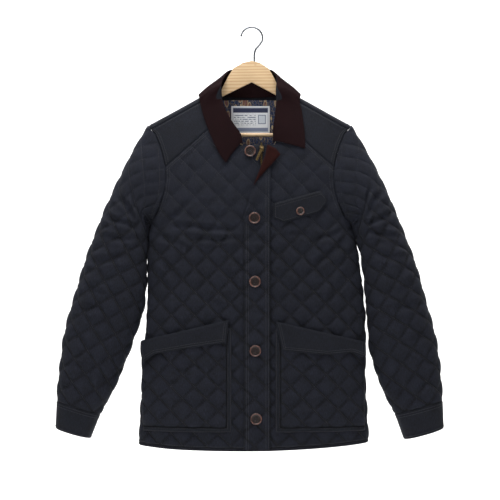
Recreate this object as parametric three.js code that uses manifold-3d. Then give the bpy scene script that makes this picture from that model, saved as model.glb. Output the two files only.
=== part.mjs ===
// A quilted jacket on a wooden hanger. Millimetres, +Z up, the front faces -Y.
// The origin is the top of the hook's opening, where a rail would carry it.
// Right and left are the wearer's: the right front has x below 0.
import * as THREE from "three";
import { mergeVertices } from "three/addons/utils/BufferGeometryUtils.js";
import Module from "manifold-3d";

const wasm = await Module();
wasm.setup();

// Driving dimensions of the cloth and its seams
const SEAM_GAP = 0.3;
const SIDE_GAP = 0.5;
const SEAM_WALL = 1.8;
const STITCH_WALL = 2;
const PUFF = 2.4;
const PUFF_SLOPE = 0.22;
const PLAIN_WALL = 2;
const BINDING_WALL = 3.6;
const DIAMOND_WIDE = 49.4;
const DIAMOND_TALL = 49;
const STITCH_CROSSING = { s: 30, z: -503 };

// Driving dimensions of the body: a row for each level, half widths on both sides, depths front and back
const OVAL = 2.2;
const BODY = [
  { z: -80, right: 300, left: 300, front: 50, back: 43 },
  { z: -200, right: 262, left: 260, front: 52, back: 44 },
  { z: -300, right: 232, left: 228, front: 54, back: 45 },
  { z: -360, right: 219, left: 214, front: 55, back: 46 },
  { z: -412, right: 211, left: 208.5, front: 56, back: 47 },
  { z: -455, right: 214.8, left: 216.5, front: 57, back: 48 },
  { z: -571, right: 214.8, left: 231.5, front: 58, back: 49 },
  { z: -661, right: 221, left: 236, front: 59, back: 50 },
  { z: -739, right: 227, left: 236, front: 60, back: 51 },
  { z: -885, right: 235.5, left: 243.5, front: 62, back: 53 },
];
const MIDDLE = -4.2;
const SHOULDER = { half: 114.7, z: -153.3, slope: 0.55, radius: 9, drape: 260 };
const ARMPIT_Z = -412;

// The armhole seam on the front, from the shoulder's ridge down: half is counted from the middle
const ARMHOLE = [
  { half: 211, z: -206.3 },
  { half: 210, z: -208.8 },
  { half: 207.5, z: -213.8 },
  { half: 198.5, z: -222 },
  { half: 188, z: -247 },
  { half: 180.6, z: -270.5 },
  { half: 175.4, z: -293.6 },
  { half: 174.3, z: -319 },
  { half: 177.5, z: -344 },
  { half: 184.8, z: -369 },
  { half: 195.4, z: -393 },
];
const BACK_HOLLOW = 0.75;

// The back yoke's tip at the armhole, past the ridge to the front
const YOKE_TIP = [
  { half: 208.4, past: 0 },
  { half: 207.6, past: 3 },
  { half: 204.4, past: 10 },
];

// The neck seam, from the shoulder's ridge to the front edges and to the middle of the back
const NECK_RIGHT = [
  { x: -93, z: -149.6 },
  { x: -90, z: -165 },
  { x: -82, z: -185 },
  { x: -69, z: -208 },
  { x: -51, z: -229 },
  { x: -32, z: -243.5 },
  { x: -18, z: -249 },
];
const NECK_LEFT = [
  { x: 84.6, z: -149.6 },
  { x: 82, z: -165 },
  { x: 75, z: -185 },
  { x: 65, z: -207 },
  { x: 55, z: -230 },
  { x: 47, z: -247 },
];
const NECK_BACK = [
  { x: -93, z: -140.4 },
  { x: -72, z: -143 },
  { x: -38, z: -145.4 },
  { x: -4.2, z: -146 },
  { x: 30, z: -145.4 },
  { x: 64, z: -143 },
  { x: 84.6, z: -140.4 },
];
const FRONT_TOP_Z = -247;
const FORWARD_SEAM = 10;
const BACK_YOKE_Z = -262;
const YOKE_INSET = 1.6;
const YOKE_SEAM = { half: 175.4, z: -293.6, innerHalf: 75, innerZ: -205 };

// The hem line and its binding
const HEM = [
  { x: -240, z: -873.2 },
  { x: -155, z: -879.5 },
  { x: 5, z: -881.6 },
  { x: 110, z: -878.2 },
  { x: 200, z: -872.3 },
  { x: 246, z: -867.7 },
];
const BINDING_TALL = 6;
const BINDING_LOW = -0.6;
const HEM_SIDE = { right: 234.8, left: 242.5 };

// The sleeves, from the cuff's hem up: the outer and inner edge of the flat sleeve, counted from the middle
const SLEEVE = [
  { outer: 408, outerZ: -838.5, innerRight: 333, rightZ: -860, innerLeft: 324, leftZ: -866, depth: 33 },
  { outer: 405, outerZ: -780, innerRight: 312, rightZ: -809, innerLeft: 303, leftZ: -808, depth: 34 },
  { outer: 401, outerZ: -728, innerRight: 286, rightZ: -762, innerLeft: 281, leftZ: -766, depth: 37 },
  { outer: 392.5, outerZ: -661, innerRight: 264, rightZ: -711, innerLeft: 262, leftZ: -714, depth: 40 },
  { outer: 382, outerZ: -613, innerRight: 243, rightZ: -655, innerLeft: 250, leftZ: -669, depth: 42 },
  { outer: 367, outerZ: -558, innerRight: 225, rightZ: -598, innerLeft: 247.5, leftZ: -613, depth: 43 },
  { outer: 348.5, outerZ: -495, innerRight: 219, rightZ: -548, innerLeft: 243.5, leftZ: -554, depth: 43 },
  { outer: 330.5, outerZ: -445, innerRight: 217.5, rightZ: -504, innerLeft: 239.5, leftZ: -512, depth: 42 },
  { outer: 306.5, outerZ: -386, innerRight: 217, rightZ: -467, innerLeft: 234, leftZ: -474, depth: 40 },
  { outer: 276, outerZ: -319, innerRight: 216.5, rightZ: -442, innerLeft: 227, leftZ: -447, depth: 37 },
  { outer: 243.5, outerZ: -256, innerRight: 215.5, rightZ: -427, innerLeft: 221, leftZ: -430, depth: 34 },
];
const SLEEVE_WALL = 3.5;
const ARMHOLE_LIFT = PLAIN_WALL + 1;
const ARMPIT_LIFT = 4.6;
const ARMPIT_SHARES = [0.35, 0.65, 0.88];
const CUFF_WALL = 3;

// The closure, its layers counted outwards from the inner face of the fronts
const ZIP_X = 20;
const ZIP = { chain: 4.4, tall: 2.6, low: 0.7, topZ: -243, bottomZ: -870 };
const SLIDER = { z: -257, wide: 8, tall: 12, thick: 3, low: 3.9, tilt: 0.41 };
const PULL = { wide: 5, long: 24, thick: 1.6, eye: 4.4, hole: 2.4, pin: 1.5, axle: 9.6 };
const FRONT_TOP = STITCH_WALL + PUFF;
const LAYER_GAP = 0.6;
const PLACKET = { leftX: -16.2, rightX: 38.4, foldFootZ: -394, foldTopX: 30, topZ: -247.4 };

// Buttons
const BUTTON = { radius: 12, thick: 3.6 };
const CHEST_BUTTON_RADIUS = 9;
const PLACKET_BUTTONS = [
  { x: 5.5, z: -399.8, sunk: 0 },
  { x: 6.7, z: -530.9, sunk: 0.95 },
  { x: 7.4, z: -673.7, sunk: 1.2 },
  { x: 9, z: -813.8, sunk: 0 },
];
const NECK_BUTTON = { x: -3.6, z: -261.7, sunk: 0.85 };
const CHEST_BUTTON = { x: 99.3, z: -385.8 };

// Hanger
const WOOD = { thick: 12, bar: 8.5, barZ: -224.3 };
const HOOK = { wire: 4.2, radius: 22.7, shankX: 5.5, shankFootZ: -86 };

// Colours, roughness and metalness
const NAVY = { color: 0x1c2130, roughness: 0.95, metalness: 0 };
const NAVY_PLAIN = { color: 0x1a1f2c, roughness: 0.95, metalness: 0 };
const BROWN_CORD = { color: 0x2e1a1c, roughness: 0.9, metalness: 0 };
const PRINT = { color: 0x24304f, roughness: 0.8, metalness: 0 };
const LABEL = { color: 0xdfe3ea, roughness: 0.8, metalness: 0 };
const HORN = { color: 0x4a2c22, roughness: 0.4, metalness: 0 };
const BRASS = { color: 0x9a8250, roughness: 0.4, metalness: 1 };
const PINE = { color: 0xe3c48f, roughness: 0.55, metalness: 0 };
const STEEL = { color: 0xb9bcc0, roughness: 0.25, metalness: 1 };

// A table's column read at any place along its key, on a smooth curve through its rows
function along(rows, key, name, at) {
  const last = rows.length - 1;
  const sign = Math.sign(rows[last][key] - rows[0][key]);
  if ((at - rows[0][key]) * sign <= 0) return rows[0][name];
  if ((at - rows[last][key]) * sign >= 0) return rows[last][name];
  let i = 0;
  while ((at - rows[i + 1][key]) * sign > 0) i += 1;
  const step = rows[i + 1][key] - rows[i][key];
  const u = (at - rows[i][key]) / step;
  const slope = (j) => {
    const low = rows[Math.max(j - 1, 0)];
    const high = rows[Math.min(j + 1, last)];
    return ((high[name] - low[name]) / (high[key] - low[key])) * step;
  };
  return hermite(rows[i][name], rows[i + 1][name], slope(i), slope(i + 1), u);
}

function hermite(from, to, slopeFrom, slopeTo, u) {
  const rest = 1 - u;
  const ends = rest * rest * (1 + 2 * u) * from + u * u * (3 - 2 * u) * to;
  return ends + u * rest * (rest * slopeFrom - u * slopeTo);
}

const clamp = THREE.MathUtils.clamp;
const lerp = THREE.MathUtils.lerp;

// Height of the shoulder's ridge above a place across the body
function ridgeAt(x) {
  return SHOULDER.z - SHOULDER.slope * (Math.abs(x - MIDDLE) - SHOULDER.half);
}

function halfWidth(x, z) {
  return along(BODY, "z", x < 0 ? "right" : "left", z);
}

// How far the cloth's inner face lies before or behind the middle plane
function depthAt(face, x, z) {
  const across = Math.min(Math.abs(x) / halfWidth(x, z), 1);
  const full = along(BODY, "z", face, z) * (1 - across ** OVAL) ** (1 / OVAL);
  const drop = Math.max(ridgeAt(x) - z, 0);
  const draped = Math.min(drop / SHOULDER.drape, 1);
  const hung = full * (1 - (1 - draped) ** 1.6) ** (1 / 1.6);
  const bend = Math.min(drop / SHOULDER.radius, 1);
  const fade = 1 - THREE.MathUtils.smoothstep(drop, 70, 190);
  const ridge = SHOULDER.radius * Math.sqrt(1 - (1 - bend) ** 2) * fade;
  return (hung ** 4 + ridge ** 4) ** 0.25;
}

// Arc length across one face at one level, from the middle plane to the side
const SECTION_STEPS = 40;
const sections = new Map();
function section(face, side, z) {
  const key = face + side + z.toFixed(3);
  if (!sections.has(key)) {
    const half = halfWidth(side, z);
    const xs = [0];
    const arcs = [0];
    let from = depthAt(face, 0, z);
    for (let i = 1; i <= SECTION_STEPS; i++) {
      const x = half * Math.sin((i / SECTION_STEPS) * (Math.PI / 2)) ** (2 / OVAL);
      const depth = i === SECTION_STEPS ? 0 : depthAt(face, side * x, z);
      arcs.push(arcs[i - 1] + Math.hypot(x - xs[i - 1], depth - from));
      xs.push(x);
      from = depth;
    }
    sections.set(key, { xs, arcs });
  }
  return sections.get(key);
}

function readCurve(keys, values, at) {
  let low = 0;
  let high = keys.length - 1;
  while (high - low > 1) {
    const half = (low + high) >> 1;
    if (keys[half] > at) high = half;
    else low = half;
  }
  const span = keys[high] - keys[low];
  return lerp(values[low], values[high], span > 0 ? clamp((at - keys[low]) / span, 0, 1) : 0);
}

// Distance along the cloth of a place given by its x and z
function arcAt(face, x, z) {
  const { xs, arcs } = section(face, x < 0 ? -1 : 1, z);
  return Math.sign(x) * readCurve(xs, arcs, Math.abs(x));
}

function sideArc(face, side, z) {
  return section(face, side, z).arcs[SECTION_STEPS];
}

// The body's cloth by its flat place: s runs to the right as each face is looked at, z is up
function onBody(face, s, z) {
  const facing = face === "front" ? 1 : -1;
  const side = (s < 0 ? -1 : 1) * facing;
  const reach = sideArc(face, side, z);
  if (Math.abs(s) > reach) {
    const other = face === "front" ? "back" : "front";
    const rest = sideArc(other, side, z) - (Math.abs(s) - reach);
    return onBody(other, -facing * side * rest, z);
  }
  const { xs, arcs } = section(face, side, z);
  const x = side * readCurve(arcs, xs, Math.abs(s));
  return new THREE.Vector3(x, -facing * depthAt(face, x, z), z);
}
const onFront = (s, z) => onBody("front", s, z);
const onBack = (s, z) => onBody("back", s, z);

// The shoulders by their flat place: q runs to the right seen from behind, over is past the ridge
function onShoulder(q, over) {
  const x = -q;
  const z = ridgeAt(x) - Math.abs(over);
  return new THREE.Vector3(x, over < 0 ? depthAt("back", x, z) : -depthAt("front", x, z), z);
}

// A point moved off the cloth's inner face, along the cloth's own normal
function lifted(map, u, v, height, small = 0.5) {
  const across = map(u + small, v).sub(map(u - small, v));
  const up = map(u, v + small).sub(map(u, v - small));
  return map(u, v).addScaledVector(across.cross(up).normalize(), height);
}

// Solids from three.js geometry or from loose faces
function solid(geometry) {
  const bare = geometry.clone();
  bare.deleteAttribute("normal");
  bare.deleteAttribute("uv");
  const merged = mergeVertices(bare, 1e-4);
  return new wasm.Manifold(
    new wasm.Mesh({
      numProp: 3,
      vertProperties: new Float32Array(merged.attributes.position.array),
      triVerts: new Uint32Array(merged.index.array),
    }),
  );
}

function geometryOf(points, faces) {
  const geometry = new THREE.BufferGeometry();
  geometry.setAttribute("position", new THREE.BufferAttribute(new Float32Array(points.flat()), 3));
  geometry.setIndex(faces.flat());
  return geometry;
}

function geometryFrom(manifold) {
  const mesh = manifold.getMesh();
  const geometry = new THREE.BufferGeometry();
  geometry.setAttribute("position", new THREE.BufferAttribute(mesh.vertProperties.slice(), 3));
  geometry.setIndex(new THREE.BufferAttribute(mesh.triVerts.slice(), 1));
  return geometry;
}

// Faces collected with the side that they look out on
class Faces {
  constructor() {
    this.points = [];
    this.faces = [];
  }
  point(x, y, z) {
    this.points.push([x, y, z]);
    return this.points.length - 1;
  }
  add(a, b, c, outward) {
    const [p, q, r] = [a, b, c].map((i) => new THREE.Vector3(...this.points[i]));
    const turn = q.sub(p).cross(r.sub(p)).dot(outward);
    this.faces.push(turn > 0 ? [a, b, c] : [a, c, b]);
  }
}

// The flat slab bows by a hair, so that the cut keeps every grid line, and the bow is taken out afterwards
const BOW = 2e-4;
const bow = (u, v) => BOW * (u * u + v * v);

// A flat slab: an outer face with its own height at each crossing of a grid, over a plain inner face
function flatSlab(us, vs, low, heightAt) {
  const slab = new Faces();
  const inside = vs.filter((_, j) => j % 2 === 0);
  const outer = us.map((u, i) => vs.map((v, j) => slab.point(u, v, heightAt(u, v) + bow(u, v))));
  const inner = us.map((u) => inside.map((v) => slab.point(u, v, low + bow(u, v))));
  const [up, down] = [new THREE.Vector3(0, 0, 1), new THREE.Vector3(0, 0, -1)];
  const lastU = us.length - 1;
  const lastV = vs.length - 1;
  for (let i = 0; i < lastU; i++) {
    for (let j = 0; j < lastV; j++) {
      const [a, b, c, d] = [outer[i][j], outer[i + 1][j], outer[i + 1][j + 1], outer[i][j + 1]];
      const rising = (i + j) % 2 === 0;
      slab.add(a, b, rising ? c : d, up);
      slab.add(rising ? a : b, c, d, up);
    }
    for (let j = 0; j < inside.length - 1; j++) {
      const [a, b, c, d] = [inner[i][j], inner[i + 1][j], inner[i + 1][j + 1], inner[i][j + 1]];
      slab.add(a, b, c, down);
      slab.add(a, c, d, down);
    }
    for (const [j, k, facing] of [[0, 0, -1], [lastV, inside.length - 1, 1]]) {
      const outward = new THREE.Vector3(0, facing, 0);
      slab.add(outer[i][j], outer[i + 1][j], inner[i + 1][k], outward);
      slab.add(outer[i][j], inner[i + 1][k], inner[i][k], outward);
    }
  }
  for (const [i, facing] of [[0, -1], [lastU, 1]]) {
    const outward = new THREE.Vector3(facing, 0, 0);
    for (let k = 0; k < inside.length - 1; k++) {
      slab.add(inner[i][k], outer[i][2 * k], outer[i][2 * k + 1], outward);
      slab.add(inner[i][k], outer[i][2 * k + 1], inner[i][k + 1], outward);
      slab.add(inner[i][k + 1], outer[i][2 * k + 1], outer[i][2 * k + 2], outward);
    }
  }
  return solid(geometryOf(slab.points, slab.faces));
}

// Grid lines through a given place, enough to cover a span, with an even number of steps
function gridLines(through, step, low, high) {
  const lines = [];
  let first = Math.floor((low - through) / step) - 1;
  const last = Math.ceil((high - through) / step) + 1;
  if (first % 2 !== 0) first -= 1;
  for (let i = first; i <= last || (i - first) % 2 !== 1; i++) lines.push(through + i * step);
  return lines;
}

function distanceTo(outline, u, v) {
  let nearest = Infinity;
  outline.forEach(([u0, v0], i) => {
    const [u1, v1] = outline[(i + 1) % outline.length];
    const [du, dv] = [u1 - u0, v1 - v0];
    const t = clamp(((u - u0) * du + (v - v0) * dv) / (du * du + dv * dv || 1), 0, 1);
    nearest = Math.min(nearest, Math.hypot(u - u0 - t * du, v - v0 - t * dv));
  });
  return nearest;
}

// A cut piece of cloth: the slab is cut flat along the outline and then laid on the map
// Quilted cloth has its stitch lines low and its diamonds raised, and is pressed thin at its seams
const flat = () => 0;
function cutPiece(outline, map, { low = 0, wall = PLAIN_WALL, puff = 0, lift = flat, small, us, vs } = {}) {
  const [spanU, spanV] = [0, 1].map((k) => outline.map((point) => point[k]));
  const gridU = us ?? gridLines(STITCH_CROSSING.s, DIAMOND_WIDE / 2, Math.min(...spanU), Math.max(...spanU));
  const gridV = vs ?? gridLines(STITCH_CROSSING.z, DIAMOND_TALL / 2, Math.min(...spanV), Math.max(...spanV));
  const even = (value, through, step) => Math.round((value - through) / step);
  const heightAt = (u, v) => {
    const column = even(u, STITCH_CROSSING.s, DIAMOND_WIDE / 2);
    const row = even(v, STITCH_CROSSING.z, DIAMOND_TALL / 2);
    return low + wall + (puff && (column + row) % 2 !== 0 ? puff : 0);
  };
  const prism = new THREE.ExtrudeGeometry(new THREE.Shape(outline.map(([u, v]) => new THREE.Vector2(u, v))), {
    depth: 600,
    bevelEnabled: false,
  });
  prism.translate(0, 0, -200);
  const cut = geometryFrom(flatSlab(gridU, gridV, low, heightAt).intersect(solid(prism)));
  const place = cut.getAttribute("position");
  for (let i = 0; i < place.count; i++) {
    const [u, v] = [place.getX(i), place.getY(i)];
    const height = place.getZ(i) - bow(u, v);
    const seam = low + (puff ? SEAM_WALL + PUFF_SLOPE * distanceTo(outline, u, v) : wall);
    const rise = height > low + 0.5 ? Math.min(height, seam) : height;
    place.setXYZ(i, ...lifted(map, u, v, rise + lift(u, v), small));
  }
  return cut;
}
const quilted = { wall: STITCH_WALL, puff: PUFF };

// Flat outlines of the body's pieces
function armholePoints(face, side) {
  return ARMHOLE.map(({ half, z }) => {
    const hollow = face === "front" ? half : ARMHOLE[0].half - (ARMHOLE[0].half - half) * BACK_HOLLOW;
    return { x: MIDDLE + side * hollow, z };
  });
}

function hemPoints(face, fromX, toX) {
  const steps = Math.max(2, Math.ceil(Math.abs(toX - fromX) / 30));
  return Array.from({ length: steps + 1 }, (_, i) => {
    const x = lerp(fromX, toX, i / steps);
    return { x, z: along(HEM, "x", "z", x) + BINDING_TALL };
  });
}

const onCloth = (face, points) =>
  points.map(({ x, z }) => [(face === "front" ? 1 : -1) * arcAt(face, x, z), z]);

function sideLine(face, side, fromZ, toZ) {
  const sign = (face === "front" ? 1 : -1) * side;
  const steps = 30;
  return Array.from({ length: steps + 1 }, (_, i) => {
    const z = lerp(fromZ, toZ, i / steps);
    return [sign * (sideArc(face, side, z) - SIDE_GAP / 2), z];
  });
}

const yokeLineZ = (half) =>
  lerp(YOKE_SEAM.innerZ, YOKE_SEAM.z, (half - YOKE_SEAM.innerHalf) / (YOKE_SEAM.half - YOKE_SEAM.innerHalf));

// The neck seam of one front, cut where the yoke's seam meets it
function neckParts(side) {
  const rows = side < 0 ? NECK_RIGHT : NECK_LEFT;
  const isYoke = ({ x, z }) => z > yokeLineZ(Math.abs(x - MIDDLE));
  const first = rows.findIndex((row) => !isYoke(row));
  const [above, below] = [rows[first - 1], rows[first]];
  const over = (row) => row.z - yokeLineZ(Math.abs(row.x - MIDDLE));
  const t = over(above) / (over(above) - over(below));
  const meet = { x: lerp(above.x, below.x, t), z: lerp(above.z, below.z, t) };
  return { yoke: [...rows.slice(0, first), meet], front: [meet, ...rows.slice(first)] };
}

function frontPiece(side, edgeX) {
  const hemSide = side * (side < 0 ? HEM_SIDE.right : HEM_SIDE.left);
  const armhole = armholePoints("front", side).filter(({ z }) => z < YOKE_SEAM.z + 1);
  const neck = neckParts(side).front.map(({ x, z }) => ({ x, z: z - 2 * SEAM_GAP }));
  const outline = [
    ...onCloth("front", hemPoints("front", edgeX, hemSide)),
    ...sideLine("front", side, -855, ARMPIT_Z),
    ...onCloth("front", armhole.reverse()),
    ...onCloth("front", neck),
    ...onCloth("front", [{ x: edgeX, z: FRONT_TOP_Z }]),
  ];
  return cutPiece(outline, onFront, quilted);
}

function frontYoke(side) {
  const isBelow = ({ x, z }) => z < ridgeAt(x) - FORWARD_SEAM - 1;
  const armhole = armholePoints("front", side).filter((p) => p.z > YOKE_SEAM.z - 1 && isBelow(p));
  const top = [];
  for (const half of [206, 190, 170, 150, 130, 110]) {
    const x = MIDDLE + side * half;
    top.push({ x, z: ridgeAt(x) - FORWARD_SEAM - SEAM_GAP });
  }
  const neck = neckParts(side).yoke;
  const [last, lift] = [neck.length - 1, 2 * SEAM_GAP];
  const outline = [
    ...onCloth("front", armhole.reverse().map(({ x, z }, i) => ({ x, z: i ? z : z + lift }))),
    ...onCloth("front", top),
    ...onCloth("front", neck.map(({ x, z }, i) => ({ x, z: i === last ? z + lift : z }))),
  ];
  return cutPiece(outline, onFront);
}

function backPiece() {
  const corner = (side) => {
    const points = armholePoints("back", side).filter(({ z }) => z < BACK_YOKE_Z - 5);
    const x = along(armholePoints("back", side), "z", "x", BACK_YOKE_Z);
    return [{ x, z: BACK_YOKE_Z }, ...points];
  };
  const outline = [
    ...onCloth("back", hemPoints("back", HEM_SIDE.left, -HEM_SIDE.right)),
    ...sideLine("back", -1, -855, ARMPIT_Z),
    ...onCloth("back", corner(-1).reverse()),
    ...onCloth("back", corner(1)),
    ...sideLine("back", 1, ARMPIT_Z, -855),
  ];
  return cutPiece(outline, onBack, quilted);
}

function backYoke() {
  const over = (face, { x, z }) => [-x, (face === "front" ? 1 : -1) * (ridgeAt(x) - z)];
  const rim = (side) => {
    const back = armholePoints("back", side).filter(({ z }) => z > BACK_YOKE_Z + 5);
    const foot = { x: along(armholePoints("back", side), "z", "x", BACK_YOKE_Z), z: BACK_YOKE_Z + SEAM_GAP };
    const tip = YOKE_TIP.map(({ half, past }) => [-MIDDLE - side * half, past]);
    const inner = back.slice(1).map(({ x, z }) => over("back", { x: x - side * YOKE_INSET, z })).reverse();
    return [over("back", foot), ...inner, ...tip];
  };
  const neck = NECK_BACK.map((p) => over("back", p));
  const bottom = [-150, -75, 0, 75, 150].map((x) => over("back", { x, z: BACK_YOKE_Z + SEAM_GAP }));
  const outline = [
    ...rim(-1),
    over("front", { x: NECK_RIGHT[0].x, z: ridgeAt(NECK_RIGHT[0].x) - FORWARD_SEAM }),
    ...neck,
    over("front", { x: NECK_LEFT[0].x, z: ridgeAt(NECK_LEFT[0].x) - FORWARD_SEAM }),
    ...rim(1).reverse(),
    ...bottom.reverse(),
  ];
  const us = gridLines(0, 32, -230, 230);
  const vs = [-180, -145, -110, -80, -50, -30, -14, -9, -4.5, -2.5, -1, 0, 1, 2.5, 4.5, 9, 14];
  return cutPiece(outline, onShoulder, { us, vs });
}

// Sleeve rings: the flat sleeve's edges give the long axis, the depth gives the short one
const RING_STEPS = 36;
function sleeveRing(side, k, facing) {
  const row = SLEEVE[k];
  const name = side < 0 ? "Right" : "Left";
  const outer = new THREE.Vector2(side * row.outer + MIDDLE, row.outerZ);
  const inner = new THREE.Vector2(side * row["inner" + name] + MIDDLE, row[name.toLowerCase() + "Z"]);
  const centre = outer.clone().add(inner).multiplyScalar(0.5);
  const axis = outer.clone().sub(inner).multiplyScalar(0.5);
  axis.setLength(axis.length() - SLEEVE_WALL);
  return Array.from({ length: RING_STEPS + 1 }, (_, i) => {
    const angle = (i / RING_STEPS) * Math.PI;
    const run = Math.sign(Math.cos(angle)) * Math.abs(Math.cos(angle)) ** (2 / OVAL);
    const depth = row.depth * Math.sin(angle) ** (2 / OVAL);
    return new THREE.Vector3(centre.x + axis.x * run, -facing * depth, centre.y + axis.y * run);
  });
}

// The sleeve's first ring stands just off the armhole's edge, and further at the armpit where both walls hang
function armholeRing(side, facing) {
  const face = facing > 0 ? "front" : "back";
  const map = facing > 0 ? onFront : onBack;
  const places = armholePoints(face, side).slice(1).map(({ x, z }) => ({ s: facing * arcAt(face, x, z), z }));
  const foot = places[places.length - 1];
  const reach = facing * side * sideArc(face, side, ARMPIT_Z);
  for (const share of ARMPIT_SHARES) {
    places.push({ s: lerp(foot.s, reach, share), z: lerp(foot.z, ARMPIT_Z, share) });
  }
  const ring = places.map(({ s, z }) =>
    lifted(map, s, z, ARMHOLE_LIFT + ARMPIT_LIFT * THREE.MathUtils.smoothstep(-z, 330, 385)),
  );
  const tipX = MIDDLE + side * ARMHOLE[0].half;
  const tip = new THREE.Vector3(tipX, 0, ridgeAt(tipX) + ARMHOLE_LIFT);
  const pitX = side * (halfWidth(side, ARMPIT_Z) + ARMHOLE_LIFT + ARMPIT_LIFT + 2);
  return [tip, ...ring, new THREE.Vector3(pitX, 0, ARMPIT_Z + 1)];
}

// Points spread evenly by their distance along the ring
const SPREAD = 24;
function evenly(points) {
  const arcs = [0];
  points.slice(1).forEach((point, i) => arcs.push(arcs[i] + point.distanceTo(points[i])));
  const total = arcs[arcs.length - 1];
  const spread = Array.from({ length: SPREAD + 1 }, (_, i) => {
    const at = (i / SPREAD) * total;
    const coordinate = (name) => readCurve(arcs, points.map((point) => point[name]), at);
    return new THREE.Vector3(coordinate("x"), coordinate("y"), coordinate("z"));
  });
  return { spread, total };
}

// A sleeve as a map: a runs round from the sleeve's outer edge, t runs up from the cuff's seam
function makeSleeveMap(side) {
  const faces = [1, -1].map((facing) => {
    const rings = SLEEVE.map((_, k) => evenly(sleeveRing(side, k, facing)));
    rings.push(evenly(armholeRing(side, facing)));
    const last = rings.length - 1;
    const at = (i, tau) => {
      const k = clamp(Math.floor(tau), 0, last - 1);
      const ring = (j) => rings[clamp(j, 0, last)].spread[i];
      const slope = (j, name) => (ring(j + 1)[name] - ring(j - 1)[name]) / (j > 0 && j < last ? 2 : 1);
      const [from, to] = [ring(k), ring(k + 1)];
      const value = (name) => hermite(from[name], to[name], slope(k, name), slope(k + 1, name), tau - k);
      return new THREE.Vector3(value("x"), value("y"), value("z"));
    };
    const fine = 8;
    const taus = Array.from({ length: last * fine + 1 }, (_, j) => j / fine);
    const columns = Array.from({ length: SPREAD + 1 }, (_, i) => {
      const points = taus.map((tau) => at(i, tau));
      const lengths = [0];
      points.slice(1).forEach((point, j) => lengths.push(lengths[j] + point.distanceTo(points[j])));
      return { points, lengths: lengths.map((length) => length - lengths[fine]) };
    });
    const halves = taus.map((tau) => {
      const k = clamp(Math.floor(tau), 0, last - 1);
      return lerp(rings[k].total, rings[k + 1].total, tau - k);
    });
    return { columns, taus, halves, last };
  });
  const read = (facing, f, tau) => {
    const { columns, taus } = faces[facing > 0 ? 0 : 1];
    const i = Math.min(Math.floor(f * SPREAD), SPREAD - 1);
    const coordinate = (name) => {
      const one = (j) => readCurve(taus, columns[j].points.map((point) => point[name]), tau);
      return lerp(one(i), one(i + 1), f * SPREAD - i);
    };
    return new THREE.Vector3(coordinate("x"), coordinate("y"), coordinate("z"));
  };
  const tauAt = (facing, f, t) => {
    const { columns, taus } = faces[facing > 0 ? 0 : 1];
    const i = Math.min(Math.floor(f * SPREAD), SPREAD - 1);
    const one = (j) => readCurve(columns[j].lengths, taus, t);
    return lerp(one(i), one(i + 1), f * SPREAD - i);
  };
  const map = (a, t) => {
    let facing = a * -side > 0 ? 1 : -1;
    const halfAt = (tau) => readCurve(faces[facing > 0 ? 0 : 1].taus, faces[facing > 0 ? 0 : 1].halves, tau);
    let tau = tauAt(facing, 0.5, t);
    let f = 0;
    for (let i = 0; i < 6; i++) {
      f = Math.abs(a) / halfAt(tau);
      tau = tauAt(facing, f > 1 ? clamp(2 - f, 0, 1) : f, t);
    }
    if (f > 1) {
      f = clamp(2 - f, 0, 1);
      facing = -facing;
    }
    return read(facing, f, tau);
  };
  // The flat outline between two levels: straight across at the bottom, and along the cap at the top
  const outline = (bottomT, top) => {
    const edge = (facing, level) => {
      const { columns, taus, halves, last } = faces[facing > 0 ? 0 : 1];
      const tau = level === "cap" ? last : tauAt(facing, 1, level);
      const t = level === "cap" ? columns[SPREAD].lengths[taus.length - 1] : level;
      return [-side * facing * (readCurve(taus, halves, tau) - SEAM_GAP / 2), t];
    };
    const cap = (facing, i) => {
      const { columns, taus, halves } = faces[facing > 0 ? 0 : 1];
      const a = -side * facing * (i / SPREAD) * (halves[taus.length - 1] - SEAM_GAP / 2);
      return [a, columns[i].lengths[taus.length - 1]];
    };
    const first = -side;
    const rise = top === "cap" ? cap(first, SPREAD)[1] : top;
    const riseBack = top === "cap" ? cap(-first, SPREAD)[1] : top;
    const steps = [0, 0.125, 0.25, 0.375, 0.5, 0.625, 0.75, 0.875];
    const right = steps.map((u) => edge(first, lerp(bottomT, rise, u)));
    const left = steps.map((u) => edge(-first, lerp(bottomT, riseBack, u))).reverse();
    if (top !== "cap") return [...right, edge(first, top), edge(-first, top), ...left];
    const over = [];
    for (let i = SPREAD; i >= 0; i -= 2) over.push(cap(first, i));
    for (let i = 2; i <= SPREAD; i += 2) over.push(cap(-first, i));
    return [...right, ...over, ...left];
  };
  return { map, outline };
}

const CUFF_TALL = 58;
const sleeves = { right: makeSleeveMap(-1), left: makeSleeveMap(1) };

function sleevePiece({ map, outline }) {
  const us = gridLines(0, DIAMOND_WIDE / 2, -230, 230);
  const vs = gridLines(0, DIAMOND_TALL / 2, 0, 620);
  return cutSleeve(outline(SEAM_GAP, "cap"), map, { ...quilted, us, vs });
}

// The sleeve's stitch lines cross on its outer edge, so its own grid counts from there
function cutSleeve(outline, map, options) {
  const shiftU = STITCH_CROSSING.s;
  const shiftV = STITCH_CROSSING.z;
  return cutPiece(
    outline.map(([a, t]) => [a + shiftU, t + shiftV]),
    (u, v) => map(u - shiftU, v - shiftV),
    { ...options, small: 5, us: options.us.map((u) => u + shiftU), vs: options.vs.map((v) => v + shiftV) },
  );
}

function cuffPiece({ map, outline }) {
  const us = gridLines(0, 17, -160, 160);
  return cutSleeve(outline(-CUFF_TALL, 0), map, { wall: CUFF_WALL, us, vs: [-90, -28, 30] });
}

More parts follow.
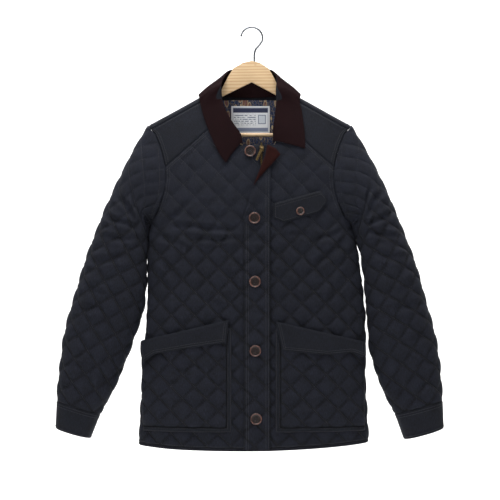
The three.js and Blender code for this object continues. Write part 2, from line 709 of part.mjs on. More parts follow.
// The hem's binding, a strip that the cloth's lower edge is sewn into
function hemBinding(face, fromX, toX) {
  const low = hemPoints(face, fromX, toX).map(({ x, z }) => ({ x, z: z - BINDING_TALL }));
  const high = low.map(({ x, z }) => ({ x, z: z + BINDING_TALL - SEAM_GAP })).reverse();
  const outline = onCloth(face, [...low, ...high]);
  const map = face === "front" ? onFront : onBack;
  return cutPiece(outline, map, { low: BINDING_LOW, wall: BINDING_WALL, vs: [-905, -875, -845] });
}

// What lies on a front is made from the front's own points, moved out past its highest diamonds
const onPanel = (points) => onCloth("front", points);
const BAG_LOW = FRONT_TOP + LAYER_GAP;
const FLAP_LOW = BAG_LOW + FRONT_TOP + LAYER_GAP;
const BAND_WIDE = 9.5;
const POCKET_FOOT_Z = -842.5;
const POCKET_TOP_Z = -628;

function pocket(side) {
  const innerX = side < 0 ? -41.4 : 48.9;
  const outerX = side < 0 ? -224 : 233;
  const bandX = innerX + side * BAND_WIDE;
  const bag = [
    { x: bandX + side * SEAM_GAP, z: POCKET_FOOT_Z + BAND_WIDE + SEAM_GAP },
    { x: outerX, z: POCKET_FOOT_Z + BAND_WIDE + SEAM_GAP },
    { x: outerX, z: POCKET_TOP_Z - 50 },
    { x: side * 214, z: POCKET_TOP_Z - 30 },
    { x: bandX + side * SEAM_GAP, z: POCKET_TOP_Z },
  ];
  const band = [
    { x: innerX, z: POCKET_FOOT_Z },
    { x: outerX, z: POCKET_FOOT_Z },
    { x: outerX, z: POCKET_FOOT_Z + BAND_WIDE },
    { x: bandX, z: POCKET_FOOT_Z + BAND_WIDE },
    { x: bandX, z: POCKET_TOP_Z },
    { x: innerX, z: POCKET_TOP_Z },
  ];
  return {
    bag: cutPiece(onPanel(bag), onFront, { ...quilted, low: BAG_LOW }),
    band: cutPiece(onPanel(band), onFront, { low: BAG_LOW, wall: PLAIN_WALL + 0.8 }),
  };
}

const FLAPS = {
  right: [
    { x: -47, z: -609.8 },
    { x: -52, z: -657 },
    { x: -123, z: -668 },
    { x: -195, z: -682 },
    { x: -216, z: -701 },
    { x: -222, z: -657.7 },
  ],
  left: [
    { x: 48.9, z: -613 },
    { x: 62.4, z: -673.7 },
    { x: 155.4, z: -683.3 },
    { x: 203.5, z: -679 },
    { x: 226, z: -690 },
    { x: 229, z: -657 },
  ],
};

// A flap's outer lower corner stands open
function flapPiece(side, points) {
  const gape = (s, z) => {
    const out = THREE.MathUtils.smoothstep(Math.abs(s), 165, 235);
    const down = THREE.MathUtils.smoothstep(-z, 650, 690);
    return 5 * out * down;
  };
  return cutPiece(onPanel(points), onFront, { low: FLAP_LOW, lift: gape });
}

const CHEST_FLAP = [
  { x: 44.5, z: -369.8 },
  { x: 44.5, z: -399.8 },
  { x: 65.5, z: -408.9 },
  { x: 139, z: -387.9 },
  { x: 153.9, z: -368.3 },
  { x: 153.9, z: -357.8 },
  { x: 140.5, z: -342.7 },
];

// The placket lies over the zip; its upper corner is turned back and shows its facing
function placketPiece() {
  const { leftX, rightX, foldFootZ, foldTopX, topZ } = PLACKET;
  const footZ = along(HEM, "x", "z", 10) + 1;
  const outline = [
    { x: leftX, z: footZ },
    { x: rightX, z: footZ },
    { x: rightX, z: topZ },
    { x: foldTopX + 1, z: topZ },
    { x: 26.4, z: -272 },
    { x: 17, z: -296 },
    { x: 2, z: -338 },
    { x: leftX, z: foldFootZ },
  ];
  return cutPiece(onPanel(outline), onFront, { ...quilted, low: BAG_LOW });
}

const FACING_SUNK = 1.1;
function placketFacing() {
  const outline = [
    { x: 31.5, z: -248.5 },
    { x: 49, z: -257.5 },
    { x: 58.5, z: -269.6 },
    { x: 14.5, z: -317.5 },
    { x: 2.8, z: -334.5 },
    { x: 17.6, z: -296 },
    { x: 27.4, z: -270 },
  ];
  const roll = (s, z) => 2 * THREE.MathUtils.smoothstep(s, 30, 58);
  return cutPiece(onPanel(outline), onFront, { low: FLAP_LOW - FACING_SUNK, wall: 2, lift: roll });
}

// Zip: the chain, then the slider with its bail, then the pull on the bail's pin
function zipChain() {
  const [left, right] = [ZIP_X - ZIP.chain / 2, ZIP_X + ZIP.chain / 2];
  const outline = [
    { x: left, z: ZIP.bottomZ },
    { x: right, z: ZIP.bottomZ },
    { x: right, z: ZIP.topZ },
    { x: left, z: ZIP.topZ },
  ];
  return cutPiece(onPanel(outline), onFront, { low: ZIP.low, wall: ZIP.tall });
}

function box(wide, tall, thick, x, y, z) {
  return new THREE.BoxGeometry(wide, tall, thick).translate(x, y, z);
}

function rod(radius, length, sides = 12) {
  return new THREE.CylinderGeometry(radius, radius, length, sides).rotateZ(Math.PI / 2);
}

// In the slider's own frame x runs along the pin, y up the zip and z out of the cloth
function sliderPiece() {
  const top = SLIDER.low + SLIDER.thick;
  const [earTop, earFoot] = [PULL.axle + 1.6, top - 0.2];
  const ear = (x) => box(1.4, 4, earTop - earFoot, x, 0, (earTop + earFoot) / 2).rotateZ(-SLIDER.tilt);
  const body = solid(box(SLIDER.wide, SLIDER.tall, SLIDER.thick, 0, 0, SLIDER.low + SLIDER.thick / 2));
  const pin = rod(PULL.pin / 2, 7).translate(0, 0, PULL.axle).rotateZ(-SLIDER.tilt);
  return geometryFrom(body.add(solid(ear(-3))).add(solid(ear(3))).add(solid(pin)));
}

function pullPiece() {
  const tab = box(PULL.wide, PULL.long, PULL.thick, 0, -PULL.long / 2 - 1.4, PULL.axle);
  const slim = box(3.6, 4, PULL.thick, 0, -1.6, PULL.axle);
  const eye = rod(PULL.eye / 2, 3.6, 16).translate(0, 0, PULL.axle);
  const hole = rod(PULL.hole / 2, 12, 16).translate(0, 0, PULL.axle);
  tab.translate(0, -2, 0);
  const whole = solid(tab).add(solid(slim)).add(solid(eye)).subtract(solid(hole));
  return geometryFrom(whole).rotateZ(-SLIDER.tilt);
}

// Puts a piece on the front: its z axis out of the cloth, its y axis up the cloth
function seatOn(mesh, x, z, height) {
  const s = arcAt("front", x, z);
  const small = 3;
  const across = onFront(s + small, z).sub(onFront(s - small, z)).normalize();
  const up = onFront(s, z + small).sub(onFront(s, z - small)).normalize();
  const out = across.clone().cross(up).normalize();
  const basis = new THREE.Matrix4().makeBasis(up.clone().cross(out), up, out);
  mesh.quaternion.setFromRotationMatrix(basis);
  mesh.position.copy(lifted(onFront, s, z, height));
  return mesh;
}

function buttonGeometry(radius, thick) {
  const profile = [
    [0, 0],
    [radius - 0.8, 0],
    [radius, thick * 0.6],
    [radius - 1.2, thick],
    [radius - 3, thick * 0.72],
    [0, thick * 0.72],
  ];
  const points = profile.map(([r, z]) => new THREE.Vector2(r, z));
  return new THREE.LatheGeometry(points, 16).rotateX(Math.PI / 2);
}

// Collar: a row for each place round the neck, with the roll at its top and the edge of its fall
// roll and edge heights marked by lift are measured off the front, the others are places of their own
const COLLAR_RIGHT = [
  { roll: { x: -18.5, z: -246.5, lift: 5 }, edge: { x: -53, z: -286, lift: 7.5 } },
  { roll: { x: -22, z: -227, lift: 8 }, edge: { x: -64.5, z: -270, lift: 7.5 } },
  { roll: { x: -38, z: -204, lift: 9 }, edge: { x: -76.5, z: -247, lift: 7 } },
  { roll: { x: -53, z: -177, lift: 9 }, edge: { x: -89, z: -218, lift: 6 } },
  { roll: { x: -61, z: -152, lift: 8 }, edge: { x: -101, z: -184, lift: 6 } },
  { roll: { x: -64, y: -30, z: -127 }, edge: { x: -107, z: -160, lift: 7 } },
  { roll: { x: -62, y: -22, z: -115 }, edge: { x: -110, y: -15, z: -148 } },
  { roll: { x: -57, y: -13, z: -103 }, edge: { x: -111, y: 0, z: -139 } },
];
const COLLAR_BACK = [
  { roll: { x: -48, y: 7, z: -91 }, edge: { x: -92, y: 26, z: -149 } },
  { roll: { x: -28, y: 21, z: -86 }, edge: { x: -50, y: 34, z: -150 } },
  { roll: { x: -2, y: 26, z: -84 }, edge: { x: -3, y: 38, z: -149 } },
  { roll: { x: 25, y: 21, z: -86 }, edge: { x: 44, y: 34, z: -150 } },
  { roll: { x: 42, y: 7, z: -90 }, edge: { x: 84, y: 26, z: -149 } },
];
const COLLAR_LEFT = [
  { roll: { x: 43.5, z: -243, lift: 6 }, edge: { x: 110, z: -256, lift: 7.5 } },
  { roll: { x: 43, z: -217, lift: 9 }, edge: { x: 109.5, z: -228, lift: 7 } },
  { roll: { x: 47, z: -186, lift: 9 }, edge: { x: 107, z: -202, lift: 6 } },
  { roll: { x: 50, z: -156, lift: 9 }, edge: { x: 104, z: -178, lift: 6 } },
  { roll: { x: 51, y: -31, z: -129 }, edge: { x: 100, z: -159, lift: 7 } },
  { roll: { x: 52, y: -23, z: -116 }, edge: { x: 102, y: -15, z: -147 } },
  { roll: { x: 51, y: -14, z: -102 }, edge: { x: 102, y: 0, z: -138 } },
];
const COLLAR_WALL = 2.6;

function collarPlace({ x, y, z, lift }) {
  if (lift === undefined) return new THREE.Vector3(x, y, z);
  return lifted(onFront, arcAt("front", x, z), z, lift);
}

// The path of the cloth at one place: up the stand, over the roll and down the fall
function collarPath(seam, roll, edge) {
  const out = edge.clone().sub(roll).setZ(0);
  if (out.length() < 1) out.set(0, 1, 0);
  out.normalize();
  const stand = seam.clone().lerp(roll, 0.5).addScaledVector(out, 3);
  stand.z += 2;
  const turn = roll.clone().addScaledVector(out, 3.2);
  turn.z += 1.2;
  const shoulder = roll.clone().lerp(edge, 0.2).addScaledVector(out, 3);
  shoulder.z += 2;
  const middle = roll.clone().lerp(edge, 0.6).addScaledVector(out, 2.5);
  middle.z += 2;
  return [seam, stand, roll, turn, shoulder, middle, edge];
}

function collarSeams() {
  const inset = 1.8;
  const frontInset = 3.6;
  const front = (rows, side) =>
    rows.map(({ x, z }) => {
      const place = { x: x - side * frontInset, z: z + (z < -200 ? inset : 0) };
      return lifted(onFront, arcAt("front", place.x, place.z), place.z, 0);
    });
  const back = NECK_BACK.slice(1, -1).map(({ x, z }) => lifted(onBack, -arcAt("back", x, z), z + inset, 0));
  const ridge = (x) => new THREE.Vector3(x, 0, ridgeAt(x) - 0.9);
  const right = [...front(NECK_RIGHT, -1).reverse(), ridge(NECK_RIGHT[0].x + 2.5)];
  const left = [ridge(NECK_LEFT[0].x - 2.5), ...front(NECK_LEFT, 1)];
  return [...right, ...back, ...left];
}

function collarPiece() {
  const rows = [...COLLAR_RIGHT, ...COLLAR_BACK, ...[...COLLAR_LEFT].reverse()];
  const seams = collarSeams();
  const paths = rows.map(({ roll, edge }, i) => collarPath(seams[i], collarPlace(roll), collarPlace(edge)));
  return wallFrom(paths, COLLAR_WALL);
}

// A closed wall over a grid of points: the grid is the side that it turns away from, the wall grows out of it
function wallFrom(grid, wall) {
  const [rows, columns] = [grid.length, grid[0].length];
  const near = (i, j) => grid[clamp(i, 0, rows - 1)][clamp(j, 0, columns - 1)];
  const normal = (i, j) => {
    const down = near(i + 1, j).clone().sub(near(i - 1, j));
    const across = near(i, j + 1).clone().sub(near(i, j - 1));
    return across.cross(down).normalize();
  };
  const points = [];
  for (let i = 0; i < rows; i++) for (let j = 0; j < columns; j++) points.push(grid[i][j].toArray());
  for (let i = 0; i < rows; i++)
    for (let j = 0; j < columns; j++) {
      points.push(grid[i][j].clone().addScaledVector(normal(i, j), wall).toArray());
    }
  const far = rows * columns;
  const faces = [];
  const quad = (a, b, c, d) => faces.push([a, b, c], [a, c, d]);
  for (let i = 0; i < rows - 1; i++)
    for (let j = 0; j < columns - 1; j++) {
      const a = i * columns + j;
      quad(a, a + columns, a + columns + 1, a + 1);
      quad(far + a, far + a + 1, far + a + columns + 1, far + a + columns);
    }
  for (let i = 0; i < rows - 1; i++) {
    const [a, b] = [i * columns, i * columns + columns - 1];
    quad(a, far + a, far + a + columns, a + columns);
    quad(b, b + columns, far + b + columns, far + b);
  }
  for (let j = 0; j < columns - 1; j++) {
    const [a, b] = [j, (rows - 1) * columns + j];
    quad(a, a + 1, far + a + 1, far + a);
    quad(b, far + b, far + b + 1, b + 1);
  }
  return geometryOf(points, faces);
}

// Lining and label, as far as the open neck shows them
const LINING = { low: -2.8, wall: 1.4 };
function liningPiece() {
  const outline = [
    { x: -84, z: -160 },
    { x: -70, z: -151 },
    { x: -38, z: -149.6 },
    { x: 30, z: -149.6 },
    { x: 62, z: -151 },
    { x: 76, z: -160 },
    { x: 82, z: -300 },
    { x: -90, z: -300 },
  ];
  return cutPiece(onCloth("back", outline), onBack, LINING);
}

function labelPiece() {
  const [left, right, top, foot] = [-43.5, 38.4, -161.3, -218];
  const outline = [
    { x: left, z: top },
    { x: right, z: top },
    { x: right, z: foot },
    { x: left, z: foot },
  ];
  return cutPiece(onCloth("back", outline), onBack, { low: LINING.low - 2, wall: 1 });
}

// Wooden hanger: arms that fill the shoulders' ridge, a raised neck, and a bar between the arms' feet
const HANGER_EDGE = [
  { half: 0, top: -69, foot: -113.5 },
  { half: 18, top: -73.5, foot: -122.7 },
  { half: 37, top: -85, foot: -132.4 },
  { half: 48, top: -103, foot: -138 },
  { half: 60, top: -128, foot: -144.5 },
  { half: 76, top: -142.5, foot: -153 },
  { half: 96, top: -149, foot: -164 },
  { half: 125, top: -162, foot: -184 },
  { half: 150, top: -176, foot: -205 },
  { half: 166, top: -184, foot: -220 },
  { half: 171, top: -187, foot: -232 },
  { half: 184, top: -194, foot: -233 },
  { half: 198, top: -202, foot: -222 },
  { half: 203, top: -207, foot: -213 },
];
const WOOD_SEAT = 3.9;
const BAR_HALF = 177;

function hangerBody() {
  const shape = new THREE.Shape();
  const across = (half) => MIDDLE * clamp(Math.abs(half) / 96, 0, 1) + half;
  const topAt = (x, z) => [x, Math.abs(x - MIDDLE) > SHOULDER.half ? Math.min(z, ridgeAt(x) - WOOD_SEAT) : z];
  const top = HANGER_EDGE.slice(1).reverse().map(({ half, top: z }) => topAt(across(-half), z));
  const topRight = HANGER_EDGE.map(({ half, top: z }) => topAt(across(half), z));
  const foot = HANGER_EDGE.slice().reverse().map(({ half, foot: z }) => [across(half), z]);
  const footLeft = HANGER_EDGE.slice(1).map(({ half, foot: z }) => [across(-half), z]);
  const outline = [...top, ...topRight, ...foot, ...footLeft];
  outline.forEach(([x, z], i) => (i ? shape.lineTo(x, z) : shape.moveTo(x, z)));
  const plate = new THREE.ExtrudeGeometry(shape, { depth: WOOD.thick, bevelEnabled: false });
  plate.rotateX(Math.PI / 2).translate(0, WOOD.thick / 2, 0);
  const depth = 40;
  const bore = new THREE.CylinderGeometry(HOOK.wire / 2 + SEAM_GAP, HOOK.wire / 2 + SEAM_GAP, depth, 12);
  bore.rotateX(Math.PI / 2).translate(HOOK.shankX, 0, HOOK.shankFootZ - SEAM_GAP + depth / 2);
  const barHole = rod(WOOD.bar / 2 + SEAM_GAP, 2 * (BAR_HALF + SEAM_GAP)).translate(MIDDLE, 0, WOOD.barZ);
  return geometryFrom(solid(plate).subtract(solid(bore)).subtract(solid(barHole)));
}

function hangerBar() {
  return rod(WOOD.bar / 2, 2 * BAR_HALF).translate(MIDDLE, 0, WOOD.barZ);
}

// Steel hook: most of a circle from its tip, then a bend back to the shank
function hangerHook() {
  const centreZ = -(HOOK.radius - HOOK.wire / 2);
  const points = [];
  for (let angle = 172; angle >= -30; angle -= 14.5) {
    const turn = THREE.MathUtils.degToRad(angle);
    points.push(new THREE.Vector3(HOOK.radius * Math.cos(turn), 0, centreZ + HOOK.radius * Math.sin(turn)));
  }
  for (const [x, z] of [[13.5, -38.6], [9, -43.6], [6.4, -50]]) points.push(new THREE.Vector3(x, 0, z));
  for (const z of [-58, -72, HOOK.shankFootZ]) points.push(new THREE.Vector3(HOOK.shankX, 0, z));
  const round = Array.from({ length: 8 }, (_, i) => {
    const turn = (i / 8) * 2 * Math.PI;
    return new THREE.Vector2((HOOK.wire / 2) * Math.cos(turn), (HOOK.wire / 2) * Math.sin(turn));
  });
  const path = new THREE.CatmullRomCurve3(points);
  return new THREE.ExtrudeGeometry(new THREE.Shape(round), { steps: 34, extrudePath: path });
}

// Assembly
const jacket = new THREE.Group();
function add(name, geometry, material) {
  const mesh = new THREE.Mesh(geometry, new THREE.MeshStandardMaterial(material));
  mesh.name = name;
  jacket.add(mesh);
  return mesh;
}

const EDGE_RIGHT = ZIP_X - ZIP.chain / 2 - SEAM_GAP;
const EDGE_LEFT = ZIP_X + ZIP.chain / 2 + SEAM_GAP;
add("front_right", frontPiece(-1, EDGE_RIGHT), NAVY);
add("front_left", frontPiece(1, EDGE_LEFT), NAVY);
add("back", backPiece(), NAVY);
add("yoke_right", frontYoke(-1), NAVY_PLAIN);
add("yoke_left", frontYoke(1), NAVY_PLAIN);
add("yoke_back", backYoke(), NAVY_PLAIN);
add("hem_right", hemBinding("front", EDGE_RIGHT, -HEM_SIDE.right), NAVY_PLAIN);
add("hem_left", hemBinding("front", EDGE_LEFT, HEM_SIDE.left), NAVY_PLAIN);
add("hem_back", hemBinding("back", HEM_SIDE.left, -HEM_SIDE.right), NAVY_PLAIN);
for (const [name, side] of [["right", -1], ["left", 1]]) {
  add("sleeve_" + name, sleevePiece(sleeves[name]), NAVY);
  add("cuff_" + name, cuffPiece(sleeves[name]), NAVY_PLAIN);
  const { bag, band } = pocket(side);
  add("pocket_" + name, bag, NAVY);
  add("pocket_band_" + name, band, NAVY_PLAIN);
  add("flap_" + name, flapPiece(side, FLAPS[name]), NAVY_PLAIN);
}
add("chest_flap", cutPiece(onPanel(CHEST_FLAP), onFront, { low: BAG_LOW }), NAVY_PLAIN);
add("placket", placketPiece(), NAVY);
add("placket_facing", placketFacing(), BROWN_CORD);
add("collar", collarPiece(), BROWN_CORD);
add("lining", liningPiece(), PRINT);
add("label", labelPiece(), LABEL);
add("zip_chain", zipChain(), BRASS);
seatOn(add("zip_slider", sliderPiece(), BRASS), ZIP_X, SLIDER.z, 0);
seatOn(add("zip_pull", pullPiece(), BRASS), ZIP_X, SLIDER.z, 0);
PLACKET_BUTTONS.forEach(({ x, z, sunk }, i) => {
  const button = add("button_" + (i + 1), buttonGeometry(BUTTON.radius, BUTTON.thick), HORN);
  seatOn(button, x, z, BAG_LOW + FRONT_TOP + SEAM_GAP - sunk);
});
const neckButton = add("button_neck", buttonGeometry(BUTTON.radius, BUTTON.thick), HORN);
seatOn(neckButton, NECK_BUTTON.x, NECK_BUTTON.z, FRONT_TOP + SEAM_GAP - NECK_BUTTON.sunk);
const chestButton = add("button_chest", buttonGeometry(CHEST_BUTTON_RADIUS, BUTTON.thick - 0.6), HORN);
seatOn(chestButton, CHEST_BUTTON.x, CHEST_BUTTON.z, BAG_LOW + PLAIN_WALL + SEAM_GAP);
add("hanger_body", hangerBody(), PINE);
add("hanger_bar", hangerBar(), PINE);
add("hanger_hook", hangerHook(), STEEL);

export default jacket;
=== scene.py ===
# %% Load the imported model
import math

import bmesh
import bpy
import numpy as np
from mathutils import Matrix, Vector
from mathutils.geometry import delaunay_2d_cdt


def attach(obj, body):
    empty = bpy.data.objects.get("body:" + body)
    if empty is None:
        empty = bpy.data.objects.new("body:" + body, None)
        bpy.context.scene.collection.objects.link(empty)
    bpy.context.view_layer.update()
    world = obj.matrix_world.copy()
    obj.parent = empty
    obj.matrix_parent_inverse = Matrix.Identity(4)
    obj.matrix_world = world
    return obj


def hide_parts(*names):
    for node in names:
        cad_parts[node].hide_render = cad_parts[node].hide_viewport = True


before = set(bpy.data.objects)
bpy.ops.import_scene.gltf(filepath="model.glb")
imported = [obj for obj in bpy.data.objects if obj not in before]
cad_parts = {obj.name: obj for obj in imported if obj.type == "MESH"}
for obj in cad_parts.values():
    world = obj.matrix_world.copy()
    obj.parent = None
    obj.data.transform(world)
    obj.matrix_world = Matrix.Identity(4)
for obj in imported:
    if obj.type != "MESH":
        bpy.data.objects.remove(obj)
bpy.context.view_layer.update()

# %% [markdown]
# The jacket is sewn from flat pieces of cloth, so the scene makes it in the same way.
# Each piece is drawn flat, in millimetres, filled with a fine net of triangles, and laid on
# the body's shape. A flat piece keeps its own place on the cloth, and so the weave, the
# quilting and the seams all follow the cloth and not the room.
# Another way would be to sculpt the whole coat, but then no seam would have a true length.

# %% Sizes of the body, level by level
MM = 0.001
OVAL = 2.2
MIDDLE = -4.2
BODY = dict(
    z=[-80, -200, -300, -360, -412, -455, -571, -661, -739, -885],
    right=[300, 262, 232, 219, 211, 214.8, 214.8, 221, 227, 235.5],
    left=[300, 260, 228, 214, 208.5, 216.5, 231.5, 236, 236, 243.5],
    front=[50, 52, 54, 55, 56, 57, 58, 59, 60, 62],
    back=[43, 44, 45, 46, 47, 48, 49, 50, 51, 53],
)
SHOULDER = dict(half=114.7, z=-153.3, slope=0.55, radius=9, drape=260)
HEM = dict(x=[-240, -155, 5, 110, 200, 246], z=[-873.2, -879.5, -881.6, -878.2, -872.3, -867.7])
ARMPIT_Z = -412


def hermite(low, high, slope_low, slope_high, u, step=1):
    """A smooth curve between two values that meets both with the given slopes."""
    rest = 1 - u
    ends = rest**2 * (1 + 2 * u) * low + u**2 * (3 - 2 * u) * high
    return ends + u * rest * step * (rest * slope_low - u * slope_high)


def row_slopes(grid):
    """The slope at each row, from the rows beside it."""
    slopes = np.empty_like(grid)
    slopes[1:-1] = (grid[2:] - grid[:-2]) / 2
    slopes[0], slopes[-1] = grid[1] - grid[0], grid[-1] - grid[-2]
    return slopes


def along(table, key, name, at):
    """A table's column read at any place, on a smooth curve through its rows."""
    keys, values = np.array(table[key], float), np.array(table[name], float)
    if keys[-1] < keys[0]:
        keys, values = keys[::-1], values[::-1]
    slopes = np.empty_like(values)
    slopes[1:-1] = (values[2:] - values[:-2]) / (keys[2:] - keys[:-2])
    slopes[0] = (values[1] - values[0]) / (keys[1] - keys[0])
    slopes[-1] = (values[-1] - values[-2]) / (keys[-1] - keys[-2])
    at = np.clip(np.asarray(at, float), keys[0], keys[-1])
    i = np.clip(np.searchsorted(keys, at, side="right") - 1, 0, len(keys) - 2)
    step = keys[i + 1] - keys[i]
    u = (at - keys[i]) / step
    return hermite(values[i], values[i + 1], slopes[i], slopes[i + 1], u, step)


def smoothstep(x, low, high):
    t = np.clip((np.asarray(x, float) - low) / (high - low), 0, 1)
    return t * t * (3 - 2 * t)


def ridge_at(x):
    return SHOULDER["z"] - SHOULDER["slope"] * (np.abs(x - MIDDLE) - SHOULDER["half"])


def half_width(side, z):
    return np.where(np.asarray(side) < 0, along(BODY, "z", "right", z), along(BODY, "z", "left", z))


def depth_at(face, x, z):
    """How far the cloth's inner face lies before or behind the middle plane."""
    across = np.minimum(np.abs(x) / half_width(np.sign(x), z), 1)
    full = along(BODY, "z", face, z) * (1 - across**OVAL) ** (1 / OVAL)
    drop = np.maximum(ridge_at(x) - z, 0)
    draped = np.minimum(drop / SHOULDER["drape"], 1)
    hung = full * (1 - (1 - draped) ** 1.6) ** (1 / 1.6)
    bend = np.minimum(drop / SHOULDER["radius"], 1)
    fade = 1 - smoothstep(drop, 70, 190)
    ridge = SHOULDER["radius"] * np.sqrt(1 - (1 - bend) ** 2) * fade
    return (hung**4 + ridge**4) ** 0.25


print("half width at the hem", float(half_width(-1, -880)), float(half_width(1, -880)))

# %% [markdown]
# A flat place on the cloth is s, the distance round from the middle, and z, the height.
# To lay it on the body we need x for a distance s. The distances are summed once in a fine
# table for each level, and read back from there.

# %% From flat cloth to the body
LEVELS = np.linspace(-900, -78, 412)
ARC_STEPS = 48
FRACTIONS = np.linspace(0, 1, 65)


def arc_tables(face, side):
    turn = np.sin(np.linspace(0, math.pi / 2, ARC_STEPS + 1)) ** (2 / OVAL)
    xs = half_width(side, LEVELS)[:, None] * turn[None, :]
    zs = np.repeat(LEVELS[:, None], ARC_STEPS + 1, axis=1)
    depths = depth_at(face, side * np.maximum(xs, 1e-6), zs)
    depths[:, -1] = 0
    steps = np.hypot(np.diff(xs, axis=1), np.diff(depths, axis=1))
    arcs = np.concatenate([np.zeros((len(LEVELS), 1)), np.cumsum(steps, axis=1)], axis=1)
    reach = arcs[:, -1]
    x_of = np.array([np.interp(FRACTIONS * reach[i], arcs[i], xs[i]) for i in range(len(LEVELS))])
    return dict(xs=xs, arcs=arcs, reach=reach, x_of=x_of)


ARCS = {(face, side): arc_tables(face, side) for face in ("front", "back") for side in (-1, 1)}


def bilinear(table, i, j):
    """Read a table at places between its rows and columns."""
    i0 = np.clip(np.floor(i).astype(int), 0, table.shape[0] - 2)
    j0 = np.clip(np.floor(j).astype(int), 0, table.shape[1] - 2)
    a, b = i - i0, j - j0
    if table.ndim == 3:
        a, b = a[..., None], b[..., None]
    low = table[i0, j0] * (1 - b) + table[i0, j0 + 1] * b
    high = table[i0 + 1, j0] * (1 - b) + table[i0 + 1, j0 + 1] * b
    return low * (1 - a) + high * a


def side_arc(face, side, z):
    return np.interp(z, LEVELS, ARCS[face, side]["reach"])


def arc_at(face, x, z):
    """Distance along the cloth of a single place given by its x and z."""
    table = ARCS[face, -1 if x < 0 else 1]
    i = np.clip(np.searchsorted(LEVELS, z) - 1, 0, len(LEVELS) - 2)
    t = (z - LEVELS[i]) / (LEVELS[i + 1] - LEVELS[i])
    near = [np.interp(abs(x), table["xs"][k], table["arcs"][k]) for k in (i, i + 1)]
    return math.copysign(near[0] * (1 - t) + near[1] * t, x)


def on_face(face, side, s, z):
    table = ARCS[face, side]
    level = (z - LEVELS[0]) / (LEVELS[1] - LEVELS[0])
    fraction = np.clip(s / np.interp(z, LEVELS, table["reach"]), 0, 1) * (len(FRACTIONS) - 1)
    x = side * bilinear(table["x_of"], level, fraction)
    depth = depth_at(face, np.where(x == 0, 1e-6, x), z)
    return np.stack([x, -depth if face == "front" else depth, z], axis=-1)


def on_body(face, s, z):
    """The body's cloth by its flat place: s runs to the right as each face is looked at."""
    s, z = np.broadcast_arrays(np.asarray(s, float), np.asarray(z, float))
    facing = 1 if face == "front" else -1
    other = "back" if face == "front" else "front"
    out = np.zeros(s.shape + (3,))
    for sign in (-1, 1):
        side = sign * facing
        mine = (s < 0) if sign < 0 else (s >= 0)
        reach = side_arc(face, side, z)
        near = mine & (np.abs(s) <= reach)
        far = mine & (np.abs(s) > reach)
        if near.any():
            out[near] = on_face(face, side, np.abs(s[near]), z[near])
        if far.any():
            rest = side_arc(other, side, z[far]) - (np.abs(s[far]) - reach[far])
            out[far] = on_face(other, side, rest, z[far])
    return out


def on_front(s, z):
    return on_body("front", s, z)


def on_back(s, z):
    return on_body("back", s, z)


def on_shoulder(q, over):
    """The shoulders by their flat place: q runs right seen from behind, over is past the ridge."""
    q, over = np.broadcast_arrays(np.asarray(q, float), np.asarray(over, float))
    x = -q
    z = ridge_at(x) - np.abs(over)
    y = np.where(over < 0, depth_at("back", x, z), -depth_at("front", x, z))
    return np.stack([x, y, z], axis=-1)


def lay(place, u, v, height, small=0.6):
    """Points moved off the cloth's inner face along the cloth's own normal."""
    across = place(u + small, v) - place(u - small, v)
    up = place(u, v + small) - place(u, v - small)
    normal = np.cross(across, up)
    normal /= np.maximum(np.linalg.norm(normal, axis=-1, keepdims=True), 1e-9)
    return place(u, v) + normal * np.asarray(height)[..., None]


def one_point(place, s, z, height=0.0):
    """A single place laid on the cloth, at a height off it."""
    return lay(place, np.array([s]), np.array([z]), np.array([height]))[0]


def on_cloth(face, points):
    sign = 1 if face == "front" else -1
    return [(sign * arc_at(face, x, z), z) for x, z in points]


girth = sum(float(side_arc(face, side, -880)) for face in ("front", "back") for side in (-1, 1))
print("girth at the hem", round(girth), "mm")

# %% [markdown]
# A sleeve is a tube that leaves the armhole and hangs. Its rings stand between the outer and
# inner edges that the sleeve shows from the front, and the last ring follows the armhole.
# Its flat cloth has a, the distance round from the outer edge, and t, the distance up.

# %% The sleeves' rings and their flat cloth
SLEEVE = dict(
    outer=[408, 405, 401, 392.5, 382, 367, 348.5, 330.5, 306.5, 276, 243.5],
    outerZ=[-838.5, -780, -728, -661, -613, -558, -495, -445, -386, -319, -256],
    innerRight=[333, 312, 286, 264, 243, 225, 219, 217.5, 217, 216.5, 215.5],
    rightZ=[-860, -809, -762, -711, -655, -598, -548, -504, -467, -442, -427],
    innerLeft=[324, 303, 281, 262, 250, 247.5, 243.5, 239.5, 234, 227, 221],
    leftZ=[-866, -808, -766, -714, -669, -613, -554, -512, -474, -447, -430],
    depth=[33, 34, 37, 40, 42, 43, 43, 42, 40, 37, 34],
)
ARMHOLE = dict(
    half=[211, 210, 207.5, 198.5, 188, 180.6, 175.4, 174.3, 177.5, 184.8, 195.4],
    z=[-206.3, -208.8, -213.8, -222, -247, -270.5, -293.6, -319, -344, -369, -393],
)
BACK_HOLLOW = 0.75
SLEEVE_WALL = 3.5
ARMHOLE_LIFT = 1.4
ARMPIT_LIFT = 2.2
ARMPIT_SHARES = (0.35, 0.65, 0.88)
SEAM_GAP = 0.3
SPREAD = 48
RING_STEPS = 64
FINE = 10
SLEEVE_REACH = (-90, 640)  # how far the flat sleeve is known, up from the cuff's seam


def armhole_points(face, side):
    top = ARMHOLE["half"][0]
    hollow = 1 if face == "front" else BACK_HOLLOW
    rows = zip(ARMHOLE["half"], ARMHOLE["z"])
    return [(MIDDLE + side * (top - (top - half) * hollow), z) for half, z in rows]


def evenly(points):
    points = np.array(points)
    arcs = np.concatenate([[0], np.cumsum(np.linalg.norm(np.diff(points, axis=0), axis=1))])
    at = np.linspace(0, arcs[-1], SPREAD + 1)
    return np.stack([np.interp(at, arcs, points[:, k]) for k in range(3)], axis=1), arcs[-1]


